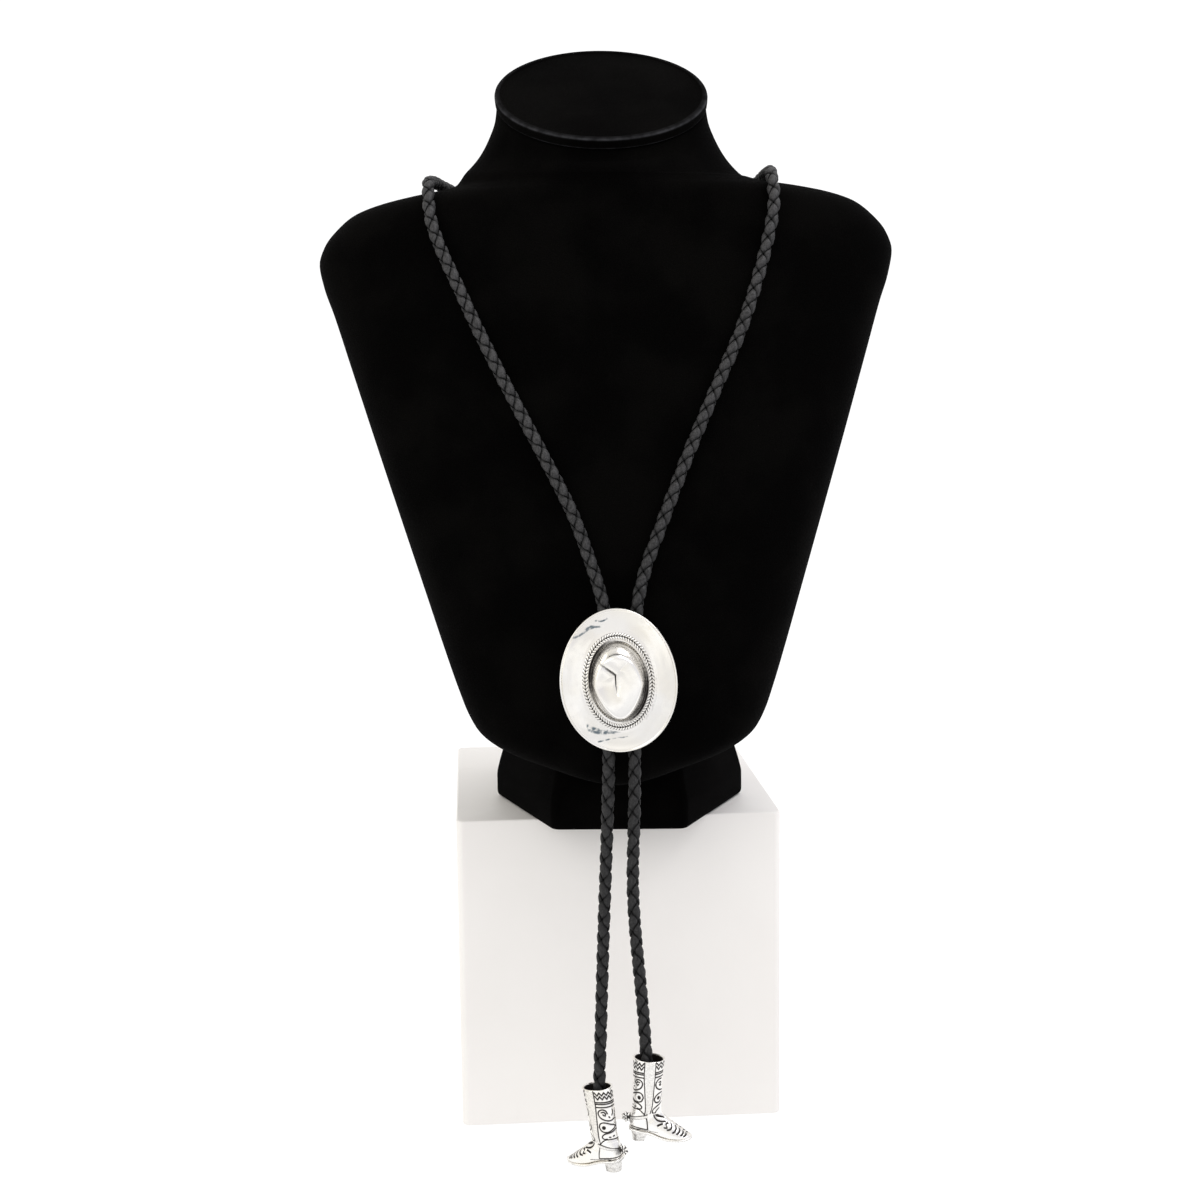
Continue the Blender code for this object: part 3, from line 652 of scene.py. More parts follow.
def rounded_corners(corners: Array, radius: float, steps: int = 9) -> Array:
    """Outline of a polygon with an arc of the radius in place of each corner.

    The arc's middle lies on the corner's bisector, and its points turn evenly from one side to the
    next.

    Args:
        corners: Corners in order, in two axes.
        radius: Radius of each arc.
        steps: Points on each arc.

    Returns:
        The outline's points in order.
    """
    back = unit(np.roll(corners, 1, axis=0) - corners)
    ahead = unit(np.roll(corners, -1, axis=0) - corners)
    half = np.arccos(np.clip((back * ahead).sum(axis=1), -1.0, 1.0))[:, None] / 2
    middle = corners + unit(back + ahead) * radius / np.sin(half)
    first = corners + back * radius / np.tan(half) - middle
    last = corners + ahead * radius / np.tan(half) - middle
    turn = math.pi - 2 * half[:, :, None]
    t = np.linspace(0.0, 1.0, steps)[None, :, None]
    arcs = (np.sin((1 - t) * turn) * first[:, None] + np.sin(t * turn) * last[:, None]) / np.sin(turn)
    return (middle[:, None] + arcs).reshape(-1, 2)


@dataclass
class PhotoCamera:
    """The camera, level but for a slight tilt, in front of the chest."""

    place: Point = (0.0013, -0.7620, 0.3061)
    yaw: float = -0.66
    pitch: float = 7.68
    roll: float = -0.66
    lens: float = 54.0
    sensor: float = 36.0

    def build(self) -> None:
        """Make the camera from its three axes."""
        yaw, pitch, roll = (math.radians(a) for a in (self.yaw, self.pitch, self.roll))
        ahead = Vector((math.sin(yaw) * math.cos(pitch), math.cos(yaw) * math.cos(pitch), -math.sin(pitch)))
        level = Vector((math.cos(yaw), -math.sin(yaw), 0.0))
        above = level.cross(ahead)
        right = level * math.cos(roll) + above * math.sin(roll)
        up = above * math.cos(roll) - level * math.sin(roll)
        data = bpy.data.cameras.new("photo_camera")
        data.lens = self.lens
        data.sensor_width = self.sensor
        data.clip_start, data.clip_end = 0.01, 50.0
        camera = link_object("photo_camera", data)
        facing = Matrix((right, up, -ahead)).transposed().to_4x4()
        camera.matrix_world = Matrix.Translation(self.place) @ facing
        bpy.context.scene.camera = camera


@dataclass
class Studio:
    """A pale sweep under a soft sky, with a large panel above to the right and a weak one to the left."""

    under: float = -0.0002
    half_width: float = 7.0
    front: float = -7.0
    back: float = 3.0
    bend: float = 1.5
    wall: float = 3.0
    sky_right: Colour = (0.86, 0.86, 0.91)
    sky_left: Colour = (0.99, 0.97, 0.91)
    panels: tuple[tuple[str, Point, Point, float, float], ...] = (
        ("panel_right", (0.55, -0.20, 1.35), (0.02, -0.03, 0.15), 0.9, 8.6),
        ("panel_left", (-0.9, -0.9, 0.7), (0.0, -0.08, 0.2), 1.0, 3.4),
    )

    def sweep(self) -> None:
        """Make the sweep: a floor, a quarter bend and a wall, as one grid of profile by width."""
        turn = np.linspace(0.0, math.pi / 2, 17)
        floor = np.linspace(self.front, self.back, 60)
        rise = np.linspace(self.bend, self.wall, 6)[1:]
        along = np.concatenate((floor[:-1], self.back + self.bend * np.sin(turn),
                                np.full(len(rise), self.back + self.bend)))
        height = np.concatenate((np.zeros(len(floor) - 1), self.bend * (1.0 - np.cos(turn)), rise))
        height += self.under
        across = np.linspace(-self.half_width, self.half_width, 15)
        index = np.arange(len(along) * len(across)).reshape(len(along), len(across))
        quads = np.stack((index[:-1, :-1], index[:-1, 1:], index[1:, 1:], index[1:, :-1]), axis=-1)
        points = spread(across[None], along[:, None], height[:, None])
        mesh = bpy.data.meshes.new("sweep")
        mesh.from_pydata(points.reshape(-1, 3).tolist(), [], quads.reshape(-1, 4).tolist())
        mesh.shade_smooth()
        mesh.materials.append(StageFinish().build())
        link_object("sweep", mesh)

    def sky(self) -> None:
        """Make the sky: warm white on the left that turns cooler and dimmer on the right."""
        shader = Shader(bpy.data.worlds.new("soft_sky"))
        across = {"Value": shader.axis("X", "Generated"), "From Min": -0.5, "From Max": 0.5}
        tone = shader.mix(shader.node("MapRange", "Result", across), self.sky_left, self.sky_right)
        shader.fill(shader.nodes["Background"].inputs["Color"], tone)
        bpy.context.scene.world = shader.owner

    def build(self) -> None:
        """Make the sweep, the sky and the light panels."""
        self.sweep()
        self.sky()
        for name, place, target, size, power in self.panels:
            self.panel(name, place, target, size, power)
        bpy.context.scene.view_settings.view_transform = "Standard"

    def panel(self, name: str, place: Point, target: Point, size: float, power: float) -> None:
        """Hang one square light panel and point it at a target."""
        data = bpy.data.lights.new(name, "AREA")
        data.size = size
        data.energy = power
        light = link_object(name, data)
        light.location = place
        light.rotation_euler = (Vector(target) - Vector(place)).to_track_quat("-Z", "Y").to_euler()


@dataclass
class DisplayBox:
    """The plain painted box that the bust stands on."""

    width: float = 0.129
    depth: float = 0.136
    height: float = BOX_HEIGHT
    corner: float = 0.003
    edge: float = 0.0008
    turn: float = 4.7

    def outline(self, inset: float) -> Array:
        """Rounded rectangle of the box, set in by a distance."""
        x, y = self.width / 2 - inset, self.depth / 2 - inset
        corners = np.array(((-x, -y), (x, -y), (x, y), (-x, y)))
        return rounded_corners(corners, self.corner - inset)

    def build(self, finish: bpy.types.Material) -> None:
        """Make the box: its outline carried up a profile that rounds both edges."""
        turn = np.linspace(0.0, math.pi / 2, 7)
        inset = self.edge * (1.0 - np.sin(turn))
        level = self.edge * (1.0 - np.cos(turn))
        insets = np.concatenate((inset, inset[::-1]))
        levels = np.concatenate((level, self.height - level[::-1]))
        outlines = np.array([self.outline(value) for value in insets])
        rings = spread(outlines[..., 0], outlines[..., 1], levels[:, None])
        shell = loft(rings).moved(Matrix.Translation((BOX_OFFSET_X, 0.0, 0.0)) @ turned(self.turn, "Z"))
        make_piece("display_box_paint", shell, finish, Slot.PAINT, "display_box", sharp=40.0)


@dataclass
class VelvetBust:
    """Torso, foot and neck cap, all under one velvet pile."""

    pile: float = 0.0005
    around: int = 160
    levels: int = 190
    foot_width: float = 0.102
    foot_depth: float = 0.118
    foot_front_y: float = -0.0899
    foot_front_width: float = 0.0512
    foot_band: float = 0.011
    foot_rise: float = 0.036
    foot_taper: float = 0.79
    foot_corner: float = 0.004
    foot_soft: float = 0.0022
    foot_levels: int = 70
    cap_thickness: float = 0.0049
    cap_half: float = 0.04
    cap_levels: int = 90
    # where the painted highlight lies on the cap's piping: level and width at the rim and at the seam
    highlight_rim: tuple[float, float] = (0.90, 0.07)
    highlight_seam: tuple[float, float] = (0.10, 0.07)
    gap: float = 0.0003

    def sections(self, rows: Array, grow: float) -> Array:
        """Ovals of the torso, one for each row.

        Point a of an oval lies at half width times cos a and half depth times sin a, each to the
        power of two over the fullness with its sign kept; the oval's plane pitches forward about
        its middle and tilts sideways, and leans off the centre line as it rises.

        Args:
            rows: Height, half width, front, back, pitch, fullness and tilt.
            grow: How much the ovals grow on all sides.

        Returns:
            Points by row, by place round the oval, by axis.
        """
        height, half_width, front, back, pitch, fullness, tilt = rows.T[:, :, None]
        angle = full_turn(self.around)[None]
        across = (half_width * BUST_WIDTH / 2 + grow) * signed_power(np.cos(angle), 2.0 / fullness)
        along = ((front - back) * BUST_DEPTH / 2 + grow) * signed_power(np.sin(angle), 2.0 / fullness)
        pitch = np.radians(pitch)
        level = height * BUST_HEIGHT
        x = across - math.tan(math.radians(BUST_LEAN)) * level
        y = BUST_BACK_Y - (front + back) * BUST_DEPTH / 2 + along * np.cos(pitch)
        z = BOX_HEIGHT + level + along * np.sin(pitch) + tilt * across
        return np.stack((x, y, z), axis=-1)

    def rows(self) -> Array:
        """The torso's table with one more column: the slope of the shoulders."""
        table = np.array(TORSO_TABLE)
        way = np.where(table[:, 4] == 0, 1.0, -1.0) * np.minimum(1.0, table[:, 0] / SHOULDER_LEVEL)
        return np.column_stack((table, way * math.tan(math.radians(SHOULDER_TILT))))

    def torso(self, finish: bpy.types.Material) -> None:
        """Make the torso and neck: ovals read between the table's rows."""
        rows = self.rows()
        travel = travelled(rows[:, :2] * (BUST_HEIGHT, BUST_WIDTH / 2))
        shell = loft(self.sections(read_evenly(travel, rows, self.levels), self.pile))
        make_piece("bust_torso_velvet", shell, finish, Slot.VELVET, "bust_torso")

    def foot(self, finish: bpy.types.Material) -> None:
        """Make the six-sided foot: its outline carried up a band and then in under the torso."""
        half, front = self.foot_width / 2, self.foot_front_width / 2
        depth = self.foot_depth / 2
        corners = np.array(((-front, -depth), (front, -depth), (half, 0.0),
                            (front, depth), (-front, depth), (-half, 0.0)))
        outline = rounded_corners(corners, self.foot_corner)
        soft, band, taper = self.foot_soft, self.foot_band, self.foot_taper
        profile = np.array((
            (0.965, 0.0), (0.985, 0.08 * soft), (0.996, 0.45 * soft), (1.0, soft),
            (1.0, band - soft), (0.997, band - 0.3 * soft), (0.988, band + 0.6 * soft),
            (0.972, band + 2.0 * soft), (taper, band + self.foot_rise - 2 * soft),
            (taper - 0.03, band + self.foot_rise),
        ))
        travel = travelled(profile * (half, 1.0))
        share, level = read_evenly(travel, profile, self.foot_levels).T[:, :, None]
        middle = self.foot_front_y + self.foot_depth / 2
        x, y = outline.T[:, None]
        rings = spread(x * share, middle + y * share, BOX_HEIGHT + self.gap + level)
        make_piece("bust_foot_velvet", loft(rings), finish, Slot.VELVET, "bust_foot")

    def cap(self, finish: bpy.types.Material) -> None:
        """Make the neck cap: the neck's top outline scaled and lifted along its tilted plane."""
        top = self.rows()[-1:]
        outline = self.sections(top, self.pile)[0]
        centre = outline.mean(axis=0)
        pitch = math.radians(top[0, 4])
        normal = np.array((0.0, -math.sin(pitch), math.cos(pitch)))
        table = np.array(CAP_TABLE)
        travel = travelled(table * (self.cap_half, self.cap_thickness))
        share, level = read_evenly(travel, table, self.cap_levels).T[:, :, None]
        lift = self.gap + level * self.cap_thickness
        rings = centre + (outline - centre) * share[..., None] + normal * lift[..., None]
        # painted highlight on the piping at the cap's rim and seam, only round its outer edge
        rim, seam = bell(level, *self.highlight_rim), bell(level, *self.highlight_seam)
        shell = loft(rings, piping=(rim + 0.5 * seam) * (share > 0.97))
        make_piece("neck_cap_velvet", shell, finish, Slot.VELVET, "neck_cap")

    def build(self, finish: bpy.types.Material) -> None:
        """Make the torso, the foot and the cap."""
        self.torso(finish)
        self.foot(finish)
        self.cap(finish)


@dataclass
class BraidedCord:
    """A round braid of four flat leather laces, two that wind each way."""

    length: float = 0.97
    tip_pitch: float = 0.0156
    nape_pitch: float = 0.0128
    ring: float = 0.00132
    weave: float = 0.00068
    lace_span: float = 154.0
    lace_thickness: float = 0.0010
    edge_power: float = 0.75
    dive: float = 1.3
    sway: float = 15.0
    first_turn: float = -28.0
    settle: float = -30.0
    steps: int = 1950
    around: int = 12
    heart: Point = (0.0, -0.05, 0.25)

    def axes(self, path: Array) -> tuple[Array, Array]:
        """Two directions across the cord at each point of its path.

        The first points away from the middle of the chest, square to the path, and the second is
        square to both.

        Args:
            path: Points of the cord's middle.

        Returns:
            Both directions, by point.
        """
        ahead = unit(np.gradient(path, axis=0))
        away = path - np.array(self.heart)
        away = unit(away - (away * ahead).sum(axis=1, keepdims=True) * ahead)
        return away, np.cross(ahead, away)

    def lace(self, path: Array, way: int, start: float) -> Shell:
        """One lace of the braid.

        Its middle winds round the path once in a pitch, which is shorter towards the nape. It is
        cut along the laces of the other way: half of an offset turns it round the cord, and half
        shifts it along. So it stands out where it passes over one of them and in where it passes
        under the next, four times a turn, and dives in the gap between them. All the laces sway to
        and fro about the path together, twice in a pitch, which straightens each one where it is
        over.

        Args:
            path: Points of the cord's middle.
            way: 1 or -1, which way it winds.
            start: Angle at the path's start.

        Returns:
            The lace's shell, which holds how far out each point lies.
        """
        travel = travelled(path)
        share = travel / travel[-1]
        pitch = self.tip_pitch + (self.nape_pitch - self.tip_pitch) * (1.0 - np.abs(2.0 * share - 1.0))
        turns = np.concatenate(([0.0], np.cumsum(np.diff(travel) / pitch[1:])))
        phase = 2.0 * math.pi * turns
        section = full_turn(self.around)
        off = math.radians(self.lace_span) / 2 * np.cos(section)
        angle = (way * phase + start)[:, None] + off / 2
        reach = travel[:, None] - way * off * pitch[:, None] / (4.0 * math.pi)
        over = way * np.tanh(self.dive * np.cos(2.0 * phase)) / math.tanh(self.dive)
        edge = signed_power(np.sin(section), self.edge_power)
        radius = (self.ring + self.weave * over)[:, None] + self.lace_thickness / 2 * edge
        angle = angle + np.radians(self.first_turn + self.settle * share)[:, None]
        angle = angle - math.radians(self.sway) * np.sin(2.0 * np.interp(reach, travel, phase))
        middle, away, aside = (np.stack([np.interp(reach, travel, column) for column in values.T], axis=-1)
                               for values in (path, *self.axes(path)))
        out = np.cos(angle)[..., None] * away + np.sin(angle)[..., None] * aside
        return loft(middle + radius[..., None] * out, crown=radius / (CORD_DIAMETER / 2))

    def build(self, finish: bpy.types.Material) -> None:
        path = smooth_route(np.array(CORD_ROUTE), self.steps)
        laces = [self.lace(path, way, start) for way in (1, -1) for start in (0.0, math.pi)]
        piece = make_piece("braided_cord", joined(laces), finish, Slot.LEATHER, "cord", sharp=80.0)


@dataclass
class HatSlide:
    """The cast hat seen from above: curled brim, beaded band and pinched crown."""

    width: float = 0.0421
    height: float = 0.0528
    wall: float = 0.0013
    crown_height: float = 0.0092
    brim_curl: float = 0.0030
    narrowing: float = 0.34
    roll: float = 4.0
    around: int = 300
    front_levels: int = 200
    back_levels: int = 30
    place: Point = (0.0003, 0.0, 0.1904)
    # From the brim's edge in: width, height, rise, curl and shift as shares, and 1 on the crown
    profile: Rows = (
        (1.000, 1.000, 0.050, 1.00, 0.000, 0),
        (0.994, 0.995, 0.078, 0.98, 0.000, 0),
        (0.976, 0.981, 0.080, 0.94, 0.000, 0),
        (0.960, 0.967, 0.045, 0.90, 0.000, 0),
        (0.900, 0.915, 0.030, 0.72, 0.000, 0),
        (0.770, 0.810, 0.00, 0.42, 0.000, 0),
        (0.680, 0.730, 0.00, 0.26, 0.000, 0),
        (0.630, 0.688, 0.015, 0.20, 0.000, 0),
        (0.610, 0.670, 0.020, 0.18, 0.000, 0),
        (0.585, 0.646, -0.030, 0.15, 0.000, 0),
        (0.530, 0.597, -0.040, 0.12, 0.000, 0),
        (0.500, 0.570, -0.062, 0.10, 0.000, 0),
        (0.475, 0.540, -0.010, 0.08, 0.002, 0),
        (0.462, 0.524, 0.07, 0.07, 0.001, 0.2),
        (0.446, 0.503, 0.30, 0.04, -0.001, 1),
        (0.427, 0.472, 0.60, 0.02, -0.006, 1),
        (0.407, 0.440, 0.86, 0.00, -0.010, 1),
        (0.390, 0.420, 0.955, 0.00, -0.012, 1),
        (0.366, 0.400, 0.985, 0.00, -0.012, 1),
        (0.290, 0.330, 1.00, 0.00, -0.010, 1),
        (0.200, 0.230, 1.01, 0.00, -0.006, 1),
        (0.110, 0.126, 1.00, 0.00, -0.002, 1),
        (0.020, 0.024, 1.00, 0.00, 0.000, 1),
    )
    # Folds of the crown from their fork: end as shares of the half width and half height, depth as
    # a share, half width of the dark line in its bottom, and how dark that is
    fork: tuple[float, float] = (-0.04, 0.15)
    folds: Rows = (
        (-0.05, -0.10, 1.0, 0.00032, 0.95),
        (-0.33, 0.34, 1.0, 0.00066, 0.74),
        (0.25, 0.36, 0.30, 0.00028, 0.30),
    )
    fold_depth: float = 0.0012
    fold_width: float = 0.0017
    dent_depth: float = 0.0013
    dent_half: tuple[float, float] = (0.0030, 0.0058)
    # Where the flat brim begins, as a share of the half width
    brim_from: float = 0.64
    recess_place: float = 0.500
    recess_half: float = 0.022
    recess_turn: float = 150.0
    # Dark bed of the hat band, as shares of the half width
    band_place: float = 0.573
    band_half: float = 0.048
    # Rows of beads: shares of the half width and half height, and which way their necks slant
    bead_rows: tuple[tuple[float, float, int], ...] = ((0.597, 0.656, 1), (0.547, 0.610, -1))
    bead_count: int = 80
    bead_radius: float = 0.00054
    bead_lift: float = 0.00014
    bead_slant: float = 1.0
    bead_steps: int = 10
    bead_around: int = 12
    # Painted dark reflections on the brim: half width, and lines in millimetres from the hat's middle
    reflection_lines: tuple[tuple[float, tuple[Line, ...]], ...] = (
        (0.00048, (((-14.6, 17.3), (-12.4, 18.0), (-10.0, 19.3), (-7.6, 20.3), (-4.6, 20.4)),
                   ((-11.0, 19.4), (-8.4, 20.6), (-6.4, 20.4)))),
        (0.00036, (((-6.4, 22.6), (-4.4, 22.2), (-2.4, 22.9)), ((-9.0, -21.6), (-5.0, -20.9), (1.6, -20.6)))),
        (0.00078, (((-12.3, -15.4), (-10.5, -16.5), (-8.0, -17.3), (-4.6, -17.9), (-1.0, -17.9)),
                   ((-11.9, -16.6), (-10.2, -17.6), (-7.4, -18.2), (-3.4, -18.4)))),
    )

    def pinch(self, across: Array, up: Array) -> tuple[Array, Array]:
        """How the crown is pressed in.

        Each fold is a valley along a line from the fork, whose depth falls away with the distance
        from the line, sharply at first; the left dent is a smooth hollow below the left fold.

        Args:
            across: Places across the hat.
            up: Places up the hat.

        Returns:
            The depth, and how dark the line in the folds' bottoms is.
        """
        half = np.array((self.width, self.height)) / 2
        fork = np.array(self.fork) * half
        depth = np.zeros_like(across)
        valley = np.zeros_like(across)
        for *end, strength, line_half, line_dark in self.folds:
            run = np.array(end) * half - fork
            share = ((across - fork[0]) * run[0] + (up - fork[1]) * run[1]) / (run @ run)
            share = np.clip(share, 0.0, 1.0)
            aside = np.hypot(across - fork[0] - share * run[0], up - fork[1] - share * run[1])
            fade = 1.0 - 0.55 * share ** 2
            depth = np.maximum(depth, strength * fade * np.exp(-aside / self.fold_width))
            valley = np.maximum(valley, line_dark * fade * bell(aside, 0.0, line_half))
        dent = bell(across, -0.22 * half[0], self.dent_half[0]) * bell(up, 0.04 * half[1], self.dent_half[1])
        return self.fold_depth * depth + self.dent_depth * dent, valley

    def front(self) -> tuple[Array, Array, Array]:
        """The hat's face.

        Ring by ring from the edge in, a point at angle a lies at the ring's width times cos a and
        height times sin a, with the crown narrowed towards its lower end; it rises by the ring's
        rise, by the curl times cos 2a, and by a low swell along the brim.

        Returns:
            Points by ring, by place, by axis, and the patina and the painted dark reflections held on them.
        """
        table = np.array(self.profile)
        travel = travelled(table[:, [0, 2]] * (self.width / 2, self.crown_height))
        width, height, rise, curl, shift, crown = read_evenly(travel, table, self.front_levels).T[:, :, None]
        angle = full_turn(self.around)[None]
        across = width * self.width / 2 * np.cos(angle)
        up = height * self.height / 2 * np.sin(angle) + shift * self.height
        depth, valley = self.pinch(across, up)
        narrow = 1.0 + self.narrowing * np.clip(crown * rise, 0.0, 1.0) * np.minimum(0.0, np.sin(angle))
        brim = np.clip((width - self.brim_from) / (1.0 - self.brim_from), 0.0, 1.0)
        swell = 0.00022 * np.sin(3.0 * angle + 0.8) * np.sin(math.pi * brim)
        curled = curl * self.brim_curl * np.cos(2.0 * angle)
        forward = rise * self.crown_height + curled + swell - depth * crown
        recess = np.exp(-((width - self.recess_place) / self.recess_half) ** 4)
        recess = recess * (0.55 + 0.35 * np.cos(2.0 * (angle - math.radians(self.recess_turn))))
        under_beads = 0.70 / (1.0 + ((width - self.band_place) / self.band_half) ** 12)
        pits = 0.30 * bell(width, 0.650, 0.045) * (0.6 + 0.4 * np.cos(angle + 0.4))
        patina = np.max(np.broadcast_arrays(recess, under_beads, pits, valley * crown), axis=0)
        points = spread(across * narrow, -forward, up)
        outer = np.broadcast_to(width > self.brim_from, points.shape[:2])
        # painted dark reflections along the lines, on the brim only
        dark_reflection = np.zeros(points.shape[:2])
        places = points[outer][:, [0, 2]]
        dark_reflection[outer] = np.max([closeness(places, lines, half, True) for half, lines in self.reflection_lines], axis=0)
        return points, patina, dark_reflection

    def beads(self, wide: float, tall: float, way: int) -> Shell:
        """One row of beads on the hat band.

        A tube follows the oval line of the band and swells and narrows once for each bead; its
        necks run aslant, as the swelling shifts with the place across the tube, and are dark.

        Args:
            wide: Share of the hat's half width.
            tall: Share of its half height.
            way: 1 or -1, which way the necks slant.

        Returns:
            The row's shell.
        """
        angle = full_turn(self.bead_steps * self.bead_count)
        line = spread(wide * self.width / 2 * np.cos(angle),
                      -0.16 * self.brim_curl * np.cos(2 * angle) - self.bead_lift,
                      tall * self.height / 2 * np.sin(angle))
        ahead = unit(np.roll(line, -1, 0) - np.roll(line, 1, 0))
        out = unit(np.cross(ahead, np.array((0.0, -1.0, 0.0))))
        forward = np.cross(out, ahead)
        section = full_turn(self.bead_around)[None]
        wave = np.abs(np.sin(self.bead_count / 2 * angle[:, None] + way * self.bead_slant * np.cos(section)))
        radius = self.bead_radius * (0.60 + 0.40 * wave ** 0.6)
        beside = np.cos(section)[..., None] * out[:, None]
        above = np.sin(section)[..., None] * forward[:, None]
        rings = line[:, None] + radius[..., None] * (beside + above)
        sides = np.clip(0.80 - 1.8 * np.abs(np.sin(section)), 0.0, 1.0)
        patina = np.maximum(np.clip(1.35 * (1.0 - wave ** 0.5), 0.0, 1.0), sides)
        return loft(rings, looped=True, patina=patina)

    def build(self, finish: bpy.types.Material) -> None:
        """Make the hat: its face, its back a wall's thickness behind, and the band's beads."""
        front, patina, dark_reflection = self.front()
        inner = np.linspace(0.0, 1.0, self.back_levels)
        picked = front[np.round(inner * (self.front_levels - 1)).astype(int)]
        behind = picked + (0.0, self.wall, 0.0)
        behind[0] = picked[0] * (0.985, 1.0, 0.985) + (0.0, self.wall, 0.0)
        rim = picked[:1] * (1.004, 1.0, 1.004) + (0.0, self.wall / 2, 0.0)
        rings = np.concatenate((front[::-1], rim, behind))
        unlit = np.zeros((self.back_levels + 1, self.around))
        low = np.concatenate((patina[::-1], unlit + 0.25))
        shells = [loft(rings, patina=low, tarnish=np.concatenate((dark_reflection[::-1], unlit)))]
        shells += [self.beads(*row) for row in self.bead_rows]
        _, high_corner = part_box("hat_slide")
        brim_plane = high_corner.y - self.wall - self.brim_curl + 0.08 * self.crown_height
        where = Vector((self.place[0], brim_plane, self.place[2]))
        shell = joined(shells).moved(Matrix.Translation(where) @ turned(-self.roll, "Y"))
        make_piece("hat_slide_silver", shell, finish, Slot.SILVER, "hat_slide", sharp=75.0)


# Scrolls of the boot's panels. The first number is the distance from the side stripe's edge and the
# second the height above the floor of the heel, in millimetres.
COLLAR_LINES: tuple[Line, ...] = (
    *(tuple((0.4 + 0.9 * step, heights[step % 2]) for step in range(9))
      for heights in ((31.3, 30.1), (29.9, 28.6))),
    *(((0.2, height), (9.0, height)) for height in (27.5, 26.8, 25.6)),
)
BACK_SCROLLS: tuple[Line, ...] = (
    ((4.3, 23.1), (3.7, 24.2), (2.4, 24.7), (1.1, 24.1), (0.8, 22.9),
     (1.6, 21.5), (3.2, 20.6), (5.2, 20.2), (7.2, 20.7)),
    ((2.0, 23.6), (2.9, 23.7), (3.5, 23.1), (3.4, 22.3)),
    ((2.6, 22.8), (3.0, 22.4)),
    ((4.8, 21.8), (5.1, 21.5)),
    ((6.2, 22.2), (6.8, 23.2), (6.6, 24.2)),
    ((0.7, 17.7), (1.2, 19.1), (2.7, 19.6), (5.0, 18.9), (7.3, 17.8),
     (6.0, 16.7), (3.7, 15.8), (1.7, 16.2), (0.7, 17.7)),
    ((7.6, 16.6), (5.6, 15.8), (3.8, 15.4), (2.3, 14.9), (1.5, 13.8), (2.3, 13.1), (3.4, 13.2)),
    ((4.3, 13.9), (4.8, 13.8)),
    ((5.9, 14.1), (6.4, 14.2)),
)
FRONT_SCROLLS: tuple[Line, ...] = (
    ((3.2, 24.6), (1.9, 24.7), (0.8, 23.6), (0.7, 22.2), (1.5, 21.0), (2.8, 20.3), (4.2, 20.1)),
    ((2.0, 23.3), (2.9, 23.4), (3.1, 22.7), (2.3, 22.3), (3.2, 21.9)),
    ((4.6, 18.9), (3.0, 19.0), (1.5, 18.5), (0.6, 17.2), (1.0, 15.9),
     (2.2, 15.4), (3.3, 16.0), (4.0, 17.4), (5.0, 18.3)),
    ((4.4, 15.2), (3.0, 14.5), (1.5, 13.7), (0.7, 12.6), (1.1, 11.5), (2.2, 11.4), (2.6, 12.3), (3.3, 13.1)),
)
BACK_DOT = (2.5, 17.6, 0.78)
FRONT_DOT = (2.3, 17.2, 0.70)
# Seams of the foot in side view: place along the boot and height, in millimetres
SIDE_SEAMS: tuple[Line, ...] = (
    ((0.5, 12.8), (2.2, 13.0), (4.2, 12.9), (5.6, 12.4), (6.9, 11.2), (7.6, 9.6), (7.9, 7.6), (8.0, 5.2)),
    ((0.4, 6.2), (3.0, 5.9), (8.0, 5.2)),
)
# Vamp: place along the boot, and distance down from its ridge, in millimetres
VAMP_SCROLLS: tuple[Line, ...] = (
    ((13.9, 0.9), (12.4, 2.3), (10.9, 3.3), (9.4, 3.9)),
    ((9.6, 4.1), (11.4, 4.0), (13.2, 3.2), (14.6, 2.2)),
    ((13.6, 3.7), (12.6, 4.6), (11.8, 5.4)),
    ((15.6, 1.9), (14.9, 3.1), (15.3, 4.0), (14.3, 4.7)),
    ((16.6, 1.2), (17.0, 2.6), (16.4, 4.0), (15.4, 4.9)),
    ((18.1, 0.6), (18.5, 2.0), (18.2, 3.5), (17.4, 4.7)),
    ((19.5, 0.6), (19.8, 1.9), (19.5, 3.2), (18.9, 4.2)),
    ((20.8, 0.5), (21.0, 1.6), (20.8, 2.8), (20.3, 3.6)),
    ((21.9, 0.4), (22.0, 1.4), (21.8, 2.3), (21.4, 3.0)),
)


def closeness(places: Array, lines: tuple[Line, ...], width: float, curved: bool) -> Array:
    """How close places are to a set of lines.

    The value is the bell of the distance to the nearest line over the width: 1 on a line and
    nearly 0 at two widths.

    Args:
        places: Places in two axes.
        lines: Lines in the same axes, in millimetres.
        width: Width of the bell.
        curved: Whether the lines are smooth curves through their points.

    Returns:
        One value for each place.
    """
    nearest = np.full(len(places), np.inf)
    for line in lines:
        points = np.array(line) * MM
        if curved and len(line) > 2:
            points = smooth_route(points, 8 * len(line))
        start, run = points[:-1], np.diff(points, axis=0)
        off = places[:, None] - start
        share = np.clip((off * run).sum(axis=2) / (run * run).sum(axis=1), 0.0, 1.0)
        gap = np.linalg.norm(off - share[:, :, None] * run, axis=2).min(axis=1)
        nearest = np.minimum(nearest, gap)
    return bell(nearest, 0.0, width)


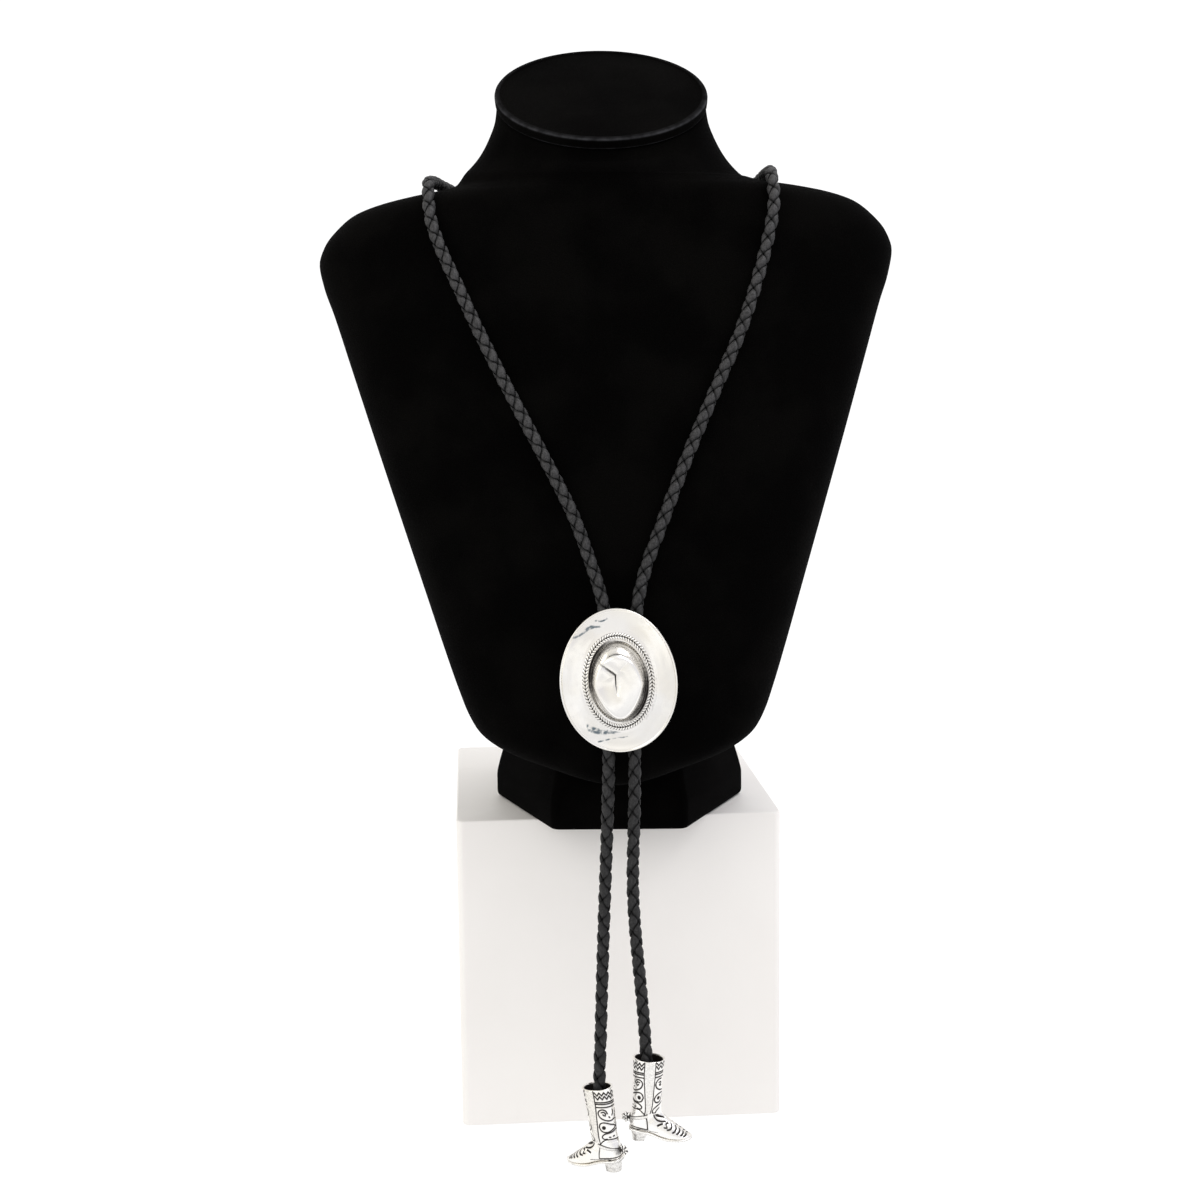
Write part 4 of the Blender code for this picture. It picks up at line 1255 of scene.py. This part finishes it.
@dataclass
class BootTip:
    """A cast boot tip: scrolled upper, welted sole, stacked heel and a star spur."""

    name: str
    node: str
    cord_end: Point
    turn: float
    lean: float = 2.6
    height: float = 0.0326
    length: float = 0.0236
    socket_depth: float = 0.0090
    socket_place: float = 0.347
    gap: float = 0.0003
    groove_depth: float = 0.00021
    groove_width: float = 0.00033
    stripe_lift: float = 0.00016
    stripe_ahead: float = 0.00145
    stripe_half: tuple[float, float] = (0.00115, 0.0021)
    stripe_patina: float = 0.34
    around: int = 240
    levels: int = 290
    sole_thickness: float = 0.0010
    sole_lip: float = 0.0004
    sole_levels: int = 80
    heel_length: float = 0.0058
    heel_place: float = 0.0036
    heel_width: float = 0.0066
    heel_taper: float = 0.86
    # Where the shaft's scrolls begin, where the foot's seams end, and the vamp's back and top
    shaft_from: float = 0.0112
    foot_to: float = 0.0135
    vamp_from: float = 0.0092
    vamp_to: float = 0.0108
    # The counter behind the ankle: top edge, its fall per metre ahead, and front edge
    counter_top: float = 0.0124
    counter_fall: float = 0.10
    counter_front: float = 0.0078
    # Dark joint above the heel: height and half width
    heel_joint: tuple[float, float] = (0.0053, 0.0003)
    spur_height: float = 0.0084
    spur_reach: float = 0.0032
    rowel_radius: float = 0.0021
    rowel_points: int = 7
    shank_from: float = 0.0020
    strap_rise: float = 0.0006
    # From the toe to the mouth, in millimetres: ends of the section's front or top and of its back or
    # bottom, its half width, where it is widest from the bottom up, and how round its lower half is
    profile: Rows = (
        (23.45, 1.95, 23.45, 1.70, 0.9, 0.3, 0.7),
        (23.1, 2.30, 23.1, 1.65, 1.8, 0.25, 0.6),
        (21.9, 3.15, 21.9, 1.55, 2.85, 0.22, 0.5),
        (19.6, 4.95, 19.6, 1.45, 3.80, 0.20, 0.45),
        (16.5, 7.20, 16.5, 1.55, 4.10, 0.20, 0.45),
        (14.5, 8.85, 13.3, 2.0, 3.95, 0.24, 0.5),
        (13.6, 9.75, 9.9, 3.2, 3.85, 0.28, 0.5),
        (13.2, 10.4, 5.9, 4.3, 3.85, 0.34, 0.55),
        (13.0, 11.0, 2.4, 4.9, 3.65, 0.40, 0.6),
        (12.9, 11.6, 0.95, 5.7, 3.55, 0.45, 0.7),
        (12.88, 12.2, 0.65, 7.3, 3.60, 0.48, 0.8),
        (12.90, 12.9, 0.95, 9.6, 3.70, 0.5, 0.9),
        (12.98, 13.8, 1.55, 11.9, 3.85, 0.5, 1.0),
        (13.10, 15.2, 1.98, 14.5, 3.98, 0.5, 1.0),
        (13.50, 19.6, 2.41, 19.6, 4.23, 0.5, 1.0),
        (14.27, 26.1, 2.82, 26.1, 4.51, 0.5, 1.0),
        (15.10, 30.7, 3.12, 31.6, 4.68, 0.5, 1.0),
        (15.34, 31.3, 3.02, 32.4, 4.80, 0.5, 1.0),
    )
    # Sole: place along the boot, height of its underside and half width of the foot, in millimetres
    sole_rows: Rows = (
        (0.30, 4.45, 1.3), (0.75, 4.40, 2.5), (2.6, 4.05, 3.45), (5.9, 3.55, 3.8), (9.9, 2.40, 3.7),
        (13.45, 1.12, 3.8), (16.5, 0.72, 4.05), (19.6, 0.65, 3.8), (21.9, 0.72, 2.85), (23.1, 0.82, 1.7),
        (23.75, 0.90, 0.5),
    )

    def sections(self) -> tuple[Array, Array]:
        """The upper's rings, from the toe up and round the heel to the mouth.

        A ring lies in the plane between its front end and its back end. At angle a its point is
        cos a of the way from the middle to either end, and its side is sin a times the half width;
        below the middle both are raised to the roundness, which squares the foot's lower half.

        Returns:
            Points by ring, by place, by axis, and the arc's length from the front end.
        """
        table = np.array(self.profile)
        table[:, :5] *= MM
        middle, back = (table[:, 0:2] + table[:, 2:4]) / 2, table[:, 2:4]
        rows = read_evenly(travelled(middle) + travelled(back) / 4, table, self.levels)
        front_x, front_z, back_x, back_z, half, belly, power = rows.T[:, :, None]
        angle = full_turn(self.around)[None]
        lower = np.cos(angle) < 0.0
        reach = np.abs(np.cos(angle)) ** np.where(lower, power, 0.95)
        side = signed_power(np.sin(angle), np.where(lower, power, 1.0))
        middle_x = back_x + (front_x - back_x) * belly
        middle_z = back_z + (front_z - back_z) * belly
        x = middle_x + np.where(lower, back_x - middle_x, front_x - middle_x) * reach
        z = middle_z + np.where(lower, back_z - middle_z, front_z - middle_z) * reach
        points = spread(x, half * side, z)
        step = np.linalg.norm(np.roll(points, -1, axis=1) - points, axis=2)
        arc = np.concatenate((np.zeros((self.levels, 1)), np.cumsum(step, axis=1)), axis=1)
        whole = arc[:, -1:]
        return points, np.minimum(arc[:, :-1], whole - arc[:, :-1]), whole

    def carving(self, points: Array, arc: Array, whole: Array) -> tuple[Array, Array]:
        """Relief and patina of the upper, with painted shade on the counter behind the spur.

        Distances along the surface from the side stripe, or along the boot from the vamp's ridge,
        are compared with the scrolls; a place close to a line is sunk and dark, and the stripe
        stands proud.

        Args:
            points: The upper's points.
            arc: Length round the ring from its front end.
            whole: Length all round each ring.

        Returns:
            Lift and patina, by ring and place.
        """
        x, z = points[..., 0], points[..., 2]
        centre = whole / 4 - self.stripe_ahead
        low, high = self.stripe_half
        half = low + (high - low) * np.clip((z - 0.012) / 0.014, 0.0, 1.0)
        ahead, behind = centre - half - arc, arc - centre - half
        sunk = np.zeros_like(x)
        shaft = z > self.shaft_from
        for away, scrolls, dot in ((ahead, FRONT_SCROLLS, FRONT_DOT), (behind, BACK_SCROLLS, BACK_DOT)):
            zone = shaft & (away > -0.0004)
            places = np.column_stack((away[zone], z[zone]))
            close = closeness(places, scrolls, self.groove_width, True)
            straight = closeness(places, COLLAR_LINES, self.groove_width, False)
            spot = np.linalg.norm(places - np.array(dot[:2]) * MM, axis=1) / (dot[2] * MM)
            disc = 1.0 / (1.0 + spot ** 8)
            edge = bell(places[:, 0], 0.0, 0.75 * self.groove_width)
            sunk[zone] = np.max((close, straight, disc, edge), axis=0)
        foot, vamp = z < self.foot_to, (x > self.vamp_from) & (z < self.vamp_to)
        for zone, up, lines, share in ((foot, z, SIDE_SEAMS, 0.85), (vamp, arc, VAMP_SCROLLS, 1.0)):
            places = np.column_stack((x[zone], up[zone]))
            sunk[zone] = np.maximum(sunk[zone], closeness(places, lines, share * self.groove_width, True))
        stripe = 1.0 / (1.0 + (np.abs(arc - centre) / half) ** 16) * shaft
        below = self.counter_top - z - self.counter_fall * np.maximum(x - 0.002, 0.0)
        counter = 1.0 / (1.0 + np.exp(-below / 0.0001)) * (x < self.counter_front) * (z < 0.0126)
        lift = self.stripe_lift * np.maximum(stripe, counter) - self.groove_depth * sunk
        joint = bell(z + 0.14 * np.maximum(x - 0.004, 0.0), *self.heel_joint) * (x < 0.012)
        # painted shade on the counter's back, behind the spur
        shade = bell(x, 0.0008, 0.0015) * bell(z, self.spur_height, 0.0027)
        patina = np.max((sunk, 0.6 * joint, 0.62 * shade, self.stripe_patina * stripe), axis=0)
        return lift, np.clip(patina, 0.0, 1.0)

    def upper(self) -> Shell:
        """The upper: carved rings, then the mouth's lip, its inside and the cord's socket."""
        points, arc, whole = self.sections()
        lift, patina = self.carving(points, arc, whole)
        along, around = np.gradient(points, axis=0), (np.roll(points, -1, 1) - np.roll(points, 1, 1)) / 2
        normal = np.cross(along, around)
        normal /= np.maximum(np.linalg.norm(normal, axis=2, keepdims=True), 1e-12)
        outward = np.sign((normal * (points - points.mean(axis=1, keepdims=True))).sum(axis=2).mean())
        carved = points + normal * outward * lift[..., None]
        top = points[-1]
        centre = top.mean(axis=0)
        lip = [centre + (top - centre) * (s, s, 1.0) + (0.0, 0.0, rise * MM)
               for s, rise in ((0.99, 0.14), (0.96, 0.22), (0.90, 0.20), (0.855, 0.0), (0.84, -0.6),
                               (0.835, -2.0), (0.82, -3.0), (0.76, -3.5))]
        axis = np.array((self.socket_place * self.length, 0.0, 0.0))
        angle = full_turn(self.around)
        circle = spread(np.cos(angle), np.sin(angle), 0.0)
        bore = CORD_DIAMETER / 2 + self.gap
        socket = [axis + circle * bore + (0.0, 0.0, self.height - drop)
                  for drop in (0.0038, 0.0042, self.socket_depth)]
        rings = np.concatenate((carved, np.array(lip), np.array(socket)))
        inner = np.ones((len(lip) + len(socket), self.around))
        inner[:4] = np.array((0.0, 0.0, 0.05, 0.55))[:, None]
        return loft(rings, patina=np.concatenate((patina, inner)))

    def sole(self) -> Shell:
        """The sole and welt: a rounded slab section carried along the foot's outline."""
        table = np.array(self.sole_rows) * MM
        x, under, half = read_evenly(table[:, 0], table, self.sole_levels).T[:, :, None]
        angle = full_turn(self.sole_levels // 2)[None]
        wide = (half + self.sole_lip) * signed_power(np.cos(angle), 0.35)
        tall = self.sole_thickness / 2 * (1.0 + signed_power(np.sin(angle), 0.5))
        # painted shade: the sole's underside is darker than its top
        dark = 0.30 + 0.30 * np.clip(-2.0 * np.sin(angle), 0.0, 1.0)
        return loft(spread(x, wide, under + tall), patina=dark)

    def heel(self) -> Shell:
        """The heel block: a round-backed outline that tapers downwards, with lifts marked."""
        half = self.heel_width / 2
        back = np.linspace(-math.pi / 2, math.pi / 2, 25)
        round_back = spread(half - half * np.cos(back), half * np.sin(back))
        front = spread(self.heel_length, np.linspace(half, -half, 13))
        outline = np.concatenate((round_back, front[1:-1]))
        heights = np.array((0.0, 0.05, 0.2, 1.4, 1.5, 1.6, 2.9, 4.2, 4.35, 4.5, 4.9)) * MM
        bulge = np.array((0.93, 0.975, 0.99, 1.0, 0.985, 1.0, 1.0, 1.0, 0.97, 0.97, 1.0))
        taper = self.heel_taper + (1.0 - self.heel_taper) * heights / heights[-1]
        dark = np.array((0.50, 0.46, 0.42, 0.38, 0.44, 0.38, 0.38, 0.42, 0.80, 0.90, 0.80))
        share = (taper * bulge)[:, None]
        along, across = outline.T[:, None]
        x = self.heel_place + (along - self.heel_length / 2) * share
        return loft(spread(x, across * share, heights[:, None]), patina=dark[:, None])

    def spur(self) -> list[Shell]:
        """The spur: a strap round the counter, a shank and a pointed star about its pin."""
        angle = full_turn(16 * self.rowel_points)
        wave = 0.5 + 0.5 * np.cos(self.rowel_points * angle)
        radius = self.rowel_radius * (0.68 + 0.32 * wave ** 0.8)
        shares = np.array((0.12, 0.24, 0.34, 0.48, 0.75, 0.93, 1.0))
        depths = np.array((-0.62, -0.60, -0.46, -0.50, -0.46, -0.36, -0.20)) * MM
        shares, depths = np.concatenate((shares, shares[::-1])), np.concatenate((depths, -depths[::-1]))
        star_x = 0.0026 - self.spur_reach
        shares, depths = shares[:, None], depths[:, None]
        star = spread(star_x + shares * radius * np.cos(angle), depths,
                      self.spur_height + shares * radius * np.sin(angle))
        between = 1.05 * (1.0 - wave) * shares ** 0.5
        star_dark = np.clip(np.maximum(between, 0.80 * bell(shares, 0.34, 0.08)), 0.0, 1.0)
        section = full_turn(20)[None]
        share = np.linspace(0.0, 1.0, 14)[:, None]
        shank_x = self.shank_from + share * (star_x - self.shank_from)
        rings = np.cos(14.0 * share)
        thick = (0.00115 - 0.0005 * share) * (1.0 + 0.16 * rings)
        drop = self.spur_height + self.strap_rise * (1.0 - share)
        shank = spread(shank_x, thick * np.cos(section), drop + thick * np.sin(section))
        around = np.linspace(-0.62 * math.pi, 0.62 * math.pi, 60)[:, None]
        rise, puff = 0.00062 * np.sin(section), 0.00030 * np.cos(section)
        strap = spread(0.0062 - (0.0054 + puff) * np.cos(around), (0.0040 + puff) * np.sin(around),
                       self.spur_height + self.strap_rise + 0.0010 * (1.0 - np.cos(around)) + rise)
        strap_dark = 0.30 + 0.5 * np.abs(np.sin(section)) ** 3 + 0.5 * bell(around, 0.0, 0.6)
        return [loft(star, patina=star_dark), loft(shank, patina=0.62 + 0.35 * rings ** 2),
                loft(strap, patina=strap_dark)]

    def build(self, finish: bpy.types.Material) -> None:
        """Make the boot, hang it a little aslant over the cord's end and turn its toe."""
        shell = joined([self.upper(), self.sole(), self.heel(), *self.spur()])
        hang = Vector((-self.socket_place * self.length, 0.0, self.socket_depth - self.height - self.gap))
        matrix = (Matrix.Translation(self.cord_end) @ turned(-self.lean, "Y") @ turned(self.turn, "Z")
                  @ Matrix.Translation(hang))
        make_piece(self.name, shell.moved(matrix), finish, Slot.SILVER, self.node, sharp=75.0)


def dress_clasp(finish: bpy.types.Material) -> None:
    """Give the clasp behind the slide its silver."""
    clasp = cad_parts["slide_clasp"]
    for slot in clasp.material_slots:
        slot.material = finish
    log.info("slide_clasp: silver")


def main() -> None:
    """Build the scene piece by piece."""
    logging.basicConfig(level=logging.INFO, format="%(name)s: %(message)s")
    PhotoCamera().build()
    Studio().build()
    silver = SilverFinish().build()
    velvet = VelvetFinish().build()
    BraidedCord().build(LeatherFinish().build())
    DisplayBox().build(PaintFinish().build())
    VelvetBust().build(velvet)
    HatSlide().build(silver)
    BootTip("boot_left_silver", "boot_left", CORD_ROUTE[0], 152.0).build(silver)
    BootTip("boot_right_silver", "boot_right", CORD_ROUTE[-1], -12.0).build(silver)
    dress_clasp(silver)


if __name__ == "__main__":
    main()
